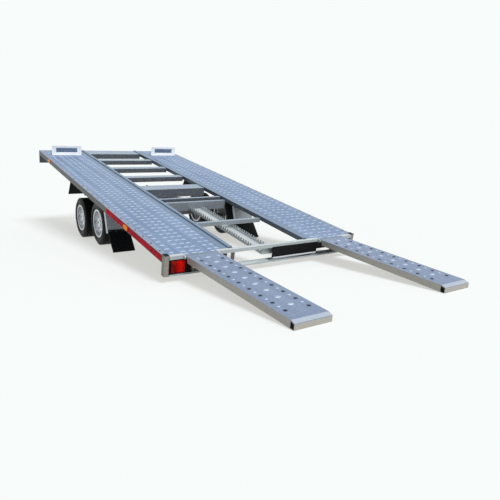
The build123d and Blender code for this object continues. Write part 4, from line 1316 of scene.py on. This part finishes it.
@dataclass(frozen=True)
class Guards:
    """Folded edges of the rear mudguards and the clamp strips of their flaps."""

    bed: Bed
    side: float = 0.844
    width: float = 0.250
    top: tuple[float, float] = (1.840, -0.046)
    foot: tuple[float, float] = (1.690, -0.372)
    fold: tuple[float, float] = (0.060, 0.003)
    strip: tuple[float, float, float] = (0.004, 0.236, 0.026)
    flap: float = 0.008
    strip_gap: float = 0.0008
    strip_lift: float = 0.017

    @property
    def sheet(self) -> Matrix:
        """Matrix from axes on the sheet's middle line to the bed's, with Z up along the sheet."""
        run, fall = self.top[0] - self.foot[0], self.top[1] - self.foot[1]
        middle = ((self.top[0] + self.foot[0]) / 2, 0, (self.top[1] + self.foot[1]) / 2)
        return Matrix.Translation(middle) @ Matrix.Rotation(math.atan2(run, fall), 4, "Y")

    @property
    def long(self) -> float:
        """Length of the sheet from its top to its foot."""
        return math.hypot(self.top[0] - self.foot[0], self.top[1] - self.foot[1])

    def folds(self) -> None:
        """Turns both long edges of each sheet forward."""
        folds = []
        depth, thickness = self.fold
        for side in SIDES.values():
            for way in (1, -1):
                across = side * self.side + way * (self.width - thickness) / 2
                folds.append(new_box("guard_folds", (depth, thickness, self.long), (depth / 2, across, 0)))
                round_edges(folds[-1], 0.001)
        whole = join(folds, "guard_folds", self.bed.axes @ self.sheet)
        hand_over(whole, "bed", Slot.rail_steel, OwnAndPaintedLightFinish.guard_zinc)

    def strips(self) -> None:
        """Clamps each flap to its sheet with a rounded strip."""
        strips = []
        along = -self.flap - self.strip_gap - self.strip[0] / 2
        for side in SIDES.values():
            place = (along, side * self.side, self.strip_lift - self.long / 2)
            strips.append(new_plate("flap_strips", self.strip, place, 0.008))
            round_edges(strips[-1], 0.001)
        hand_over(join(strips, "flap_strips", self.bed.axes @ self.sheet), "bed", Slot.black_steel)

    def build(self) -> None:
        """Makes the folds and the strips."""
        self.folds()
        self.strips()


@dataclass(frozen=True)
class HexBolt:
    """A hexagon head on its washer, drawn about Z with its seat at 0."""

    flats: float
    height: float

    def model(self, name: str) -> Piece:
        """Draws the washer and the head up ring by ring.

        Args:
            name: The piece's name.

        Returns:
            The bolt head about the origin.
        """
        corner = self.flats / math.sqrt(3)
        washer = corner * 1.3
        profile = (
            (washer, 0),
            (washer, self.height * 0.2),
            (corner, self.height * 0.22),
            (corner, self.height * 0.85),
            (corner * 0.82, self.height),
            (0, self.height),
        )
        return new_turned(name, profile, 6)


@dataclass(frozen=True)
class RoadWheel:
    """A road wheel's tyre with its tread blocks, and the fittings of its rim."""

    steps: int = 84
    tread_rows: int = 5
    groove: float = 0.007
    sipe: float = 0.0022
    bolt_count: int = 5
    bolt_circle: float = 0.056
    disc_face: float = 0.035
    valve_circle: float = 0.128
    valve_turn: float = 234
    valve_seat: float = 0.045
    lip: float = 0.170
    seat: float = 0.1523
    bead: float = 0.078

    def tyre(self, end: str, side: str) -> None:
        """Turns the tyre ring by ring and raises its tread blocks.

        Args:
            end: Which axle, front or rear.
            side: Which side, left or right.
        """
        node = f"tyre_{end}_{side}"
        low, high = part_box(node)
        radius, half = (high.x - low.x) / 2, (high.y - low.y) / 2
        base = radius - self.groove
        lip, bead = self.lip, self.bead
        shoulder = half - 0.012
        wall = [(self.seat, -bead), (lip, -bead), (lip + 0.006, -bead - 0.004)]
        wall += [(lip + 0.014, -half + 0.006), (lip + 0.030, -half + 0.001), (lip + 0.046, -half)]
        wall += [(lip + 0.050, -half + 0.0025), (lip + 0.064, -half + 0.005), (base - 0.006, -shoulder)]
        row = 2 * (shoulder - 0.004) / self.tread_rows
        tread = [(base, -shoulder + 0.004 + row * index) for index in range(self.tread_rows + 1)]
        profile = wall + tread + [(r, -h) for r, h in reversed(wall)]
        tyre = new_turned(f"{node}_dressed", profile, self.steps, ring=True)

        def on_tread(centre: Vector, normal: Vector) -> bool:
            """Whether a face lies on the tread."""
            return math.hypot(centre.x, centre.y) > base * 0.99 and abs(normal.z) < 0.2

        with editing(tyre):
            pick_faces(tyre, on_tread)
            bpy.ops.mesh.inset(thickness=self.sipe, use_individual=True)
            bpy.ops.mesh.extrude_region_shrink_fatten(
                TRANSFORM_OT_shrink_fatten={"value": self.groove * 0.98}
            )
        tyre.data.transform(facing((low + high) / 2, Vector((0, 1, 0))))
        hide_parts(node)
        hand_over(tyre, f"wheel_{end}_{side}", Slot.tyre_rubber)

    def fittings(self, end: str, side: str) -> None:
        """Sets the wheel bolts round the hub, and the valve.

        Args:
            end: Which axle, front or rear.
            side: Which side, left or right.
        """
        low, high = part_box(f"tyre_{end}_{side}")
        middle = (low + high) / 2
        outwards = Vector((0, SIDES[side], 0))

        def around(turn: float, circle: float, out: float) -> Matrix:
            """Matrix that sets a fitting on the disc, at a turn in degrees and a radius."""
            spoke = Vector((math.cos(math.radians(turn)), 0, math.sin(math.radians(turn))))
            return facing(middle + spoke * circle + outwards * out, outwards)

        places = [
            around(90 + 360 * index / self.bolt_count, self.bolt_circle, self.disc_face)
            for index in range(self.bolt_count)
        ]
        bolts = copy_at(HexBolt(0.019, 0.013).model(f"wheel_bolts_{end}_{side}"), places)
        hand_over(bolts, f"wheel_{end}_{side}", Slot.rim_paint, angle=20)
        stem = ((0.0052, 0), (0.0052, 0.010), (0.0038, 0.012), (0.0038, 0.028), (0.0046, 0.029))
        valve = new_turned(f"valve_{end}_{side}", stem + ((0.0046, 0.036), (0.003, 0.038), (0, 0.038)), 12)
        valve.data.transform(around(self.valve_turn, self.valve_circle, self.valve_seat))
        hand_over(valve, f"wheel_{end}_{side}", Slot.black_rubber)

    def build(self) -> None:
        """Makes all four wheels."""
        for end in ENDS:
            for side in SIDES:
                self.tyre(end, side)
                self.fittings(end, side)


@dataclass(frozen=True)
class Fasteners:
    """The bolts that show, each group a row of places in the axes of what it holds."""

    bed: Bed
    guards: Guards
    stops: WheelStops
    flap_across: tuple[float, ...] = (-0.105, -0.035, 0.035, 0.105)
    panel_across: tuple[float, ...] = (-0.549, -0.031)
    panel_levels: tuple[float, ...] = (-0.040, -0.112)
    panel_face: float = -0.0045
    stop_along: tuple[float, ...] = (4.172, 4.286)
    stop_across: tuple[float, ...] = (-0.014, 0.014)
    nose_across: tuple[float, ...] = (0.18, 0.46, 0.62, 0.92)
    nose_face: float = 4.5498
    nose_level: float = -0.038
    axle_forward: tuple[float, ...] = (0.102, 0.186)
    axle_side: float = 0.530
    axle_level: float = 0.398
    overrun_back: tuple[float, ...] = (0.345, 0.200, 0.060)
    overrun_side: float = 0.032
    coupling_back: tuple[float, ...] = (0.180, 0.135)

    def groups(self) -> Iterator[tuple[str, str, Slot, HexBolt, list[Matrix]]]:
        """Yields each group.

        Yields:
            Its name, body, material slot, bolt, and the places of its bolts.
        """
        lay, guards, stops = self.bed.axes, self.guards, self.stops
        both = tuple(SIDES.values())
        strip_face = -guards.flap - guards.strip_gap - guards.strip[0]
        strip_level = guards.strip_lift - guards.long / 2
        yield "flap_bolts", "bed", Slot.rail_steel, HexBolt(0.010, 0.005), [
            lay @ guards.sheet @ facing(Vector((strip_face, side * guards.side + shift, strip_level)), REAR)
            for side in both for shift in self.flap_across
        ]
        yield "panel_screws", "bed", Slot.black_plastic, HexBolt(0.008, 0.003), [
            lay @ facing(Vector((self.panel_face, across, level)), REAR)
            for across in self.panel_across for level in self.panel_levels
        ]
        yield "stop_bolts", "bed", Slot.rail_steel, HexBolt(0.013, 0.008), [
            lay @ facing(Vector((along, side * stops.side + way * stops.leg + shift, stops.foot[2])), UP)
            for side in both for way in (1, -1) for along in self.stop_along for shift in self.stop_across
        ]
        yield "nose_bolts", "bed", Slot.rail_steel, HexBolt(0.017, 0.010), [
            lay @ facing(Vector((self.nose_face, side * across, self.nose_level)), FRONT)
            for side in both for across in self.nose_across
        ]
        low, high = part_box("tyre_rear_left")
        hub = (low.x + high.x) / 2
        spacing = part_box("tyre_front_left")[0].x - low.x
        yield "axle_bolts", "chassis", Slot.chassis_steel, HexBolt(0.019, 0.011), [
            facing(Vector((hub + axle + shift, side * self.axle_side, self.axle_level)), Vector((0, side, 0)))
            for axle in (0, spacing) for shift in self.axle_forward for side in both
        ]
        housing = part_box("overrun_housing")[1]
        yield "overrun_bolts", "chassis", Slot.coupling_casting, HexBolt(0.017, 0.010), [
            facing(Vector((housing.x - back, side * self.overrun_side, housing.z)), UP)
            for back in self.overrun_back for side in both
        ]
        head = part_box("ball_coupling")[1]
        yield "coupling_bolts", "chassis", Slot.chassis_steel, HexBolt(0.015, 0.010), [
            facing(Vector((head.x - back, 0, head.z)), UP) for back in self.coupling_back
        ]

    def build(self) -> None:
        """Makes every group as one piece."""
        for name, body, slot, bolt, places in self.groups():
            hand_over(copy_at(bolt.model(name), places), body, slot, angle=20)


@dataclass(frozen=True)
class Coupling:
    """The lifting handle over the ball coupling, and the grip of the hand brake."""

    handle: tuple[float, float, float] = (0.120, 0.030, 0.012)
    handle_back: float = 0.085
    grip_radius: float = 0.017
    grip_long: float = 0.120
    grip_ribs: int = 8
    lever_lean: float = 62
    lever_end: tuple[float, float] = (0.0118, 0.0062)

    def lift_handle(self) -> None:
        """Draws the handle back and up from the head, with a hollow for the fingers."""
        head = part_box("ball_coupling")[1]
        place = (head.x - self.handle_back, 0, head.z + self.handle[2] / 2)
        handle = new_box("lift_handle", self.handle, place)
        rear = place[0] - self.handle[0] / 2
        with editing(handle):
            pick_faces(handle, lambda centre, normal: normal.x < -FACING)
            draw_out((-0.030, 0, 0.022))
            draw_out((-0.060, 0, 0.006), (1, 1.1, 0.8), Vector((rear, 0, place[2])))
            pick_faces(handle, lambda centre, normal: normal.z > FACING and centre.x > rear)
            bpy.ops.mesh.inset(thickness=0.006)
            draw_out((0, 0, -0.003))
        round_edges(handle, 0.0025, 3)
        hand_over(handle, "chassis", Slot.black_steel)

    def brake_grip(self) -> None:
        """Pulls a ribbed rubber grip over the end of the lever."""
        low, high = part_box("brake_lever")
        end = Vector((low.x + self.lever_end[0], (low.y + high.y) / 2, high.z - self.lever_end[1]))
        lean = math.radians(self.lever_lean)
        radius = self.grip_radius
        profile: list[tuple[float, float]] = [(0.0135, -self.grip_long)]
        for index in range(self.grip_ribs):
            level = -self.grip_long + 0.006 + index * 0.014
            profile += [(radius, level), (radius, level + 0.008)]
            profile += [(radius - 0.002, level + 0.010), (radius - 0.002, level + 0.012)]
        profile += [(radius, -0.002), (0.010, 0.0015), (0, 0.0015)]
        grip = new_turned("brake_grip", profile, 20)
        grip.data.transform(facing(end, Vector((-math.cos(lean), 0, math.sin(lean)))))
        hand_over(grip, "chassis", Slot.black_rubber)

    def build(self) -> None:
        """Makes the handle and the grip."""
        self.lift_handle()
        self.brake_grip()


@dataclass(frozen=True)
class JockeyTrim:
    """Hub discs of the jockey wheel and the clamp screw of its sleeve."""

    disc: float = 0.056
    clamp_level: float = 0.456

    def hubs(self) -> None:
        """Sets a dished grey disc on each face of the wheel."""
        low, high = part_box("jockey_wheel")
        middle = (low + high) / 2
        half = (high.y - low.y) / 2
        profile = (
            (self.disc, -SUNK),
            (self.disc, 0.0022),
            (self.disc * 0.88, 0.0028),
            (self.disc * 0.80, 0.0008),
            (self.disc * 0.45, 0.0008),
            (self.disc * 0.38, 0.0030),
            (0, 0.0030),
        )
        ways = (Vector((0, 1, 0)), Vector((0, -1, 0)))
        places = [facing(middle + way * half, way) for way in ways]
        hubs = copy_at(new_turned("jockey_hubs", profile, 40), places)
        hand_over(hubs, "jockey_wheel", Slot.rim_paint)

    def clamp(self) -> None:
        """Screws the clamp's handle into the sleeve's bracket from the left."""
        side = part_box("jockey_sleeve")[1].y
        low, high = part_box("jockey_tube")
        along = (low.x + high.x) / 2
        body = ((0.009, 0), (0.009, 0.012), (0.006, 0.014), (0.006, 0.030), (0.010, 0.032))
        screw = new_turned("clamp_screw", body + ((0.010, 0.040), (0.007, 0.042), (0, 0.042)), 16)
        screw.data.transform(facing(Vector((along, side - 0.001, self.clamp_level)), Vector((0, 1, 0))))
        rod = ((0.0035, -0.045), (0.0045, -0.043), (0.0045, 0.043), (0.0035, 0.045))
        bar = new_turned("clamp_bar", rod, 12)
        bar.data.transform(facing(Vector((along, side + 0.035, self.clamp_level)), Vector((1, 0, 0.4))))
        hand_over(join([screw, bar], "clamp_screw"), "chassis", Slot.chassis_steel, OwnAndPaintedLightFinish.bright_zinc)

    def build(self) -> None:
        """Makes the discs and the clamp."""
        self.hubs()
        self.clamp()


# Studio


@dataclass(frozen=True)
class Camera:
    """The photograph's viewpoint. Its frame is square."""

    place: Vector = Vector((-5.722, 2.682, 1.013))
    yaw: float = -34.16
    pitch: float = 10.52
    lens: float = 35.28
    sensor: float = 36.0

    def build(self) -> None:
        """Adds the camera and looks through it."""
        yaw, pitch = math.radians(self.yaw), math.radians(self.pitch)
        way = Vector((math.cos(pitch) * math.cos(yaw), math.cos(pitch) * math.sin(yaw), -math.sin(pitch)))
        data = bpy.data.cameras.new("camera")
        data.lens, data.sensor_width = self.lens, self.sensor
        data.clip_end = 200
        camera = bpy.data.objects.new("camera", data)
        camera.location = self.place
        camera.rotation_mode = "QUATERNION"
        camera.rotation_quaternion = way.to_track_quat("-Z", "Y")
        bpy.context.scene.collection.objects.link(camera)
        bpy.context.scene.camera = camera


@dataclass(frozen=True)
class Studio:
    """Pale floor and backdrop with plain soft light from the right and above."""

    backdrop: Tint = screen(248, 252, 251)
    floor: Tint = (0.392, 0.436, 0.455, 1.0)
    floor_size: float = 120.0
    sky: float = 0.38
    sun: float = 2.60
    sun_width: float = 24.0
    sun_from: Vector = Vector((-1.10, -0.06, 1.08))
    floor_glow: Tint = (0.560, 0.552, 0.525, 1.0)

    def seen(self, tree: bpy.types.NodeTree) -> Socket:
        """Tells rays that see the studio from light that falls on the object.

        Args:
            tree: The world's or the floor's nodes.

        Returns:
            1 for rays from the camera, mirrors and glass, and else 0.
        """
        path = tree.nodes.new("ShaderNodeLightPath")
        seen = path.outputs["Is Camera Ray"]
        for ray in ("Is Glossy Ray", "Is Transmission Ray"):
            either = tree.nodes.new("ShaderNodeMath")
            either.operation = "MAXIMUM"
            tree.links.new(seen, either.inputs[0])
            tree.links.new(path.outputs[ray], either.inputs[1])
            seen = either.outputs[0]
        return seen

    def world(self) -> None:
        """A plain pale surround: the backdrop's colour where it is seen, softer where it lights."""
        world = bpy.data.worlds.new("studio")
        world.use_nodes = True
        bpy.context.scene.world = world
        tree = world.node_tree
        light = tree.nodes["Background"]
        light.inputs["Color"].default_value = (1.0, 1.0, 1.0, 1.0)
        light.inputs["Strength"].default_value = self.sky
        seen = tree.nodes.new("ShaderNodeBackground")
        seen.inputs["Color"].default_value = self.backdrop
        choice = tree.nodes.new("ShaderNodeMixShader")
        tree.links.new(self.seen(tree), choice.inputs[0])
        tree.links.new(light.outputs[0], choice.inputs[1])
        tree.links.new(seen.outputs[0], choice.inputs[2])
        tree.links.new(choice.outputs[0], tree.nodes["World Output"].inputs["Surface"])

    def ground(self) -> None:
        """A plain floor that keeps the object's shadow and meets the backdrop in its colour."""
        deselect()
        bpy.ops.mesh.primitive_plane_add(size=self.floor_size, location=(0, 0, 0))
        floor = bpy.context.object
        floor.name = "floor"
        material = bpy.data.materials.new("floor")
        material.use_nodes = True
        tree = material.node_tree
        tree.nodes.remove(tree.nodes["Principled BSDF"])
        matt = tree.nodes.new("ShaderNodeBsdfDiffuse")
        matt.inputs["Color"].default_value = self.floor
        glow = tree.nodes.new("ShaderNodeEmission")
        glow.inputs["Color"].default_value = self.floor_glow
        tree.links.new(self.seen(tree), glow.inputs["Strength"])
        both = tree.nodes.new("ShaderNodeAddShader")
        tree.links.new(matt.outputs[0], both.inputs[0])
        tree.links.new(glow.outputs[0], both.inputs[1])
        tree.links.new(both.outputs[0], tree.nodes["Material Output"].inputs["Surface"])
        floor.data.materials.append(material)

    def lamp(self) -> None:
        """One broad lamp, far off, as soft as a large window."""
        data = bpy.data.lights.new("broad_lamp", "SUN")
        data.energy = self.sun
        data.angle = math.radians(self.sun_width)
        lamp = bpy.data.objects.new("broad_lamp", data)
        lamp.rotation_mode = "QUATERNION"
        lamp.rotation_quaternion = self.sun_from.to_track_quat("Z", "Y")
        bpy.context.scene.collection.objects.link(lamp)

    def build(self) -> None:
        """Sets the floor, the surround, the lamp and the plain view transform."""
        self.world()
        self.ground()
        self.lamp()
        bpy.context.scene.view_settings.view_transform = "Standard"


def main() -> None:
    """Builds the studio and dresses the trailer, one sub-assembly after another."""
    logging.basicConfig(level=logging.INFO, format="%(message)s")
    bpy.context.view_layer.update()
    bed = Bed()
    stops = WheelStops(bed)
    guards = Guards(bed)
    parts = (
        Camera(), Studio(), FramePieces(), Tracks(bed), RampTread(), RearFittings(bed), stops, guards,
        RoadWheel(), Fasteners(bed, guards, stops), Coupling(), JockeyTrim(),
    )
    for part in parts:
        LOG.info("building %s", type(part).__name__)
        part.build()


if __name__ == "__main__":
    main()
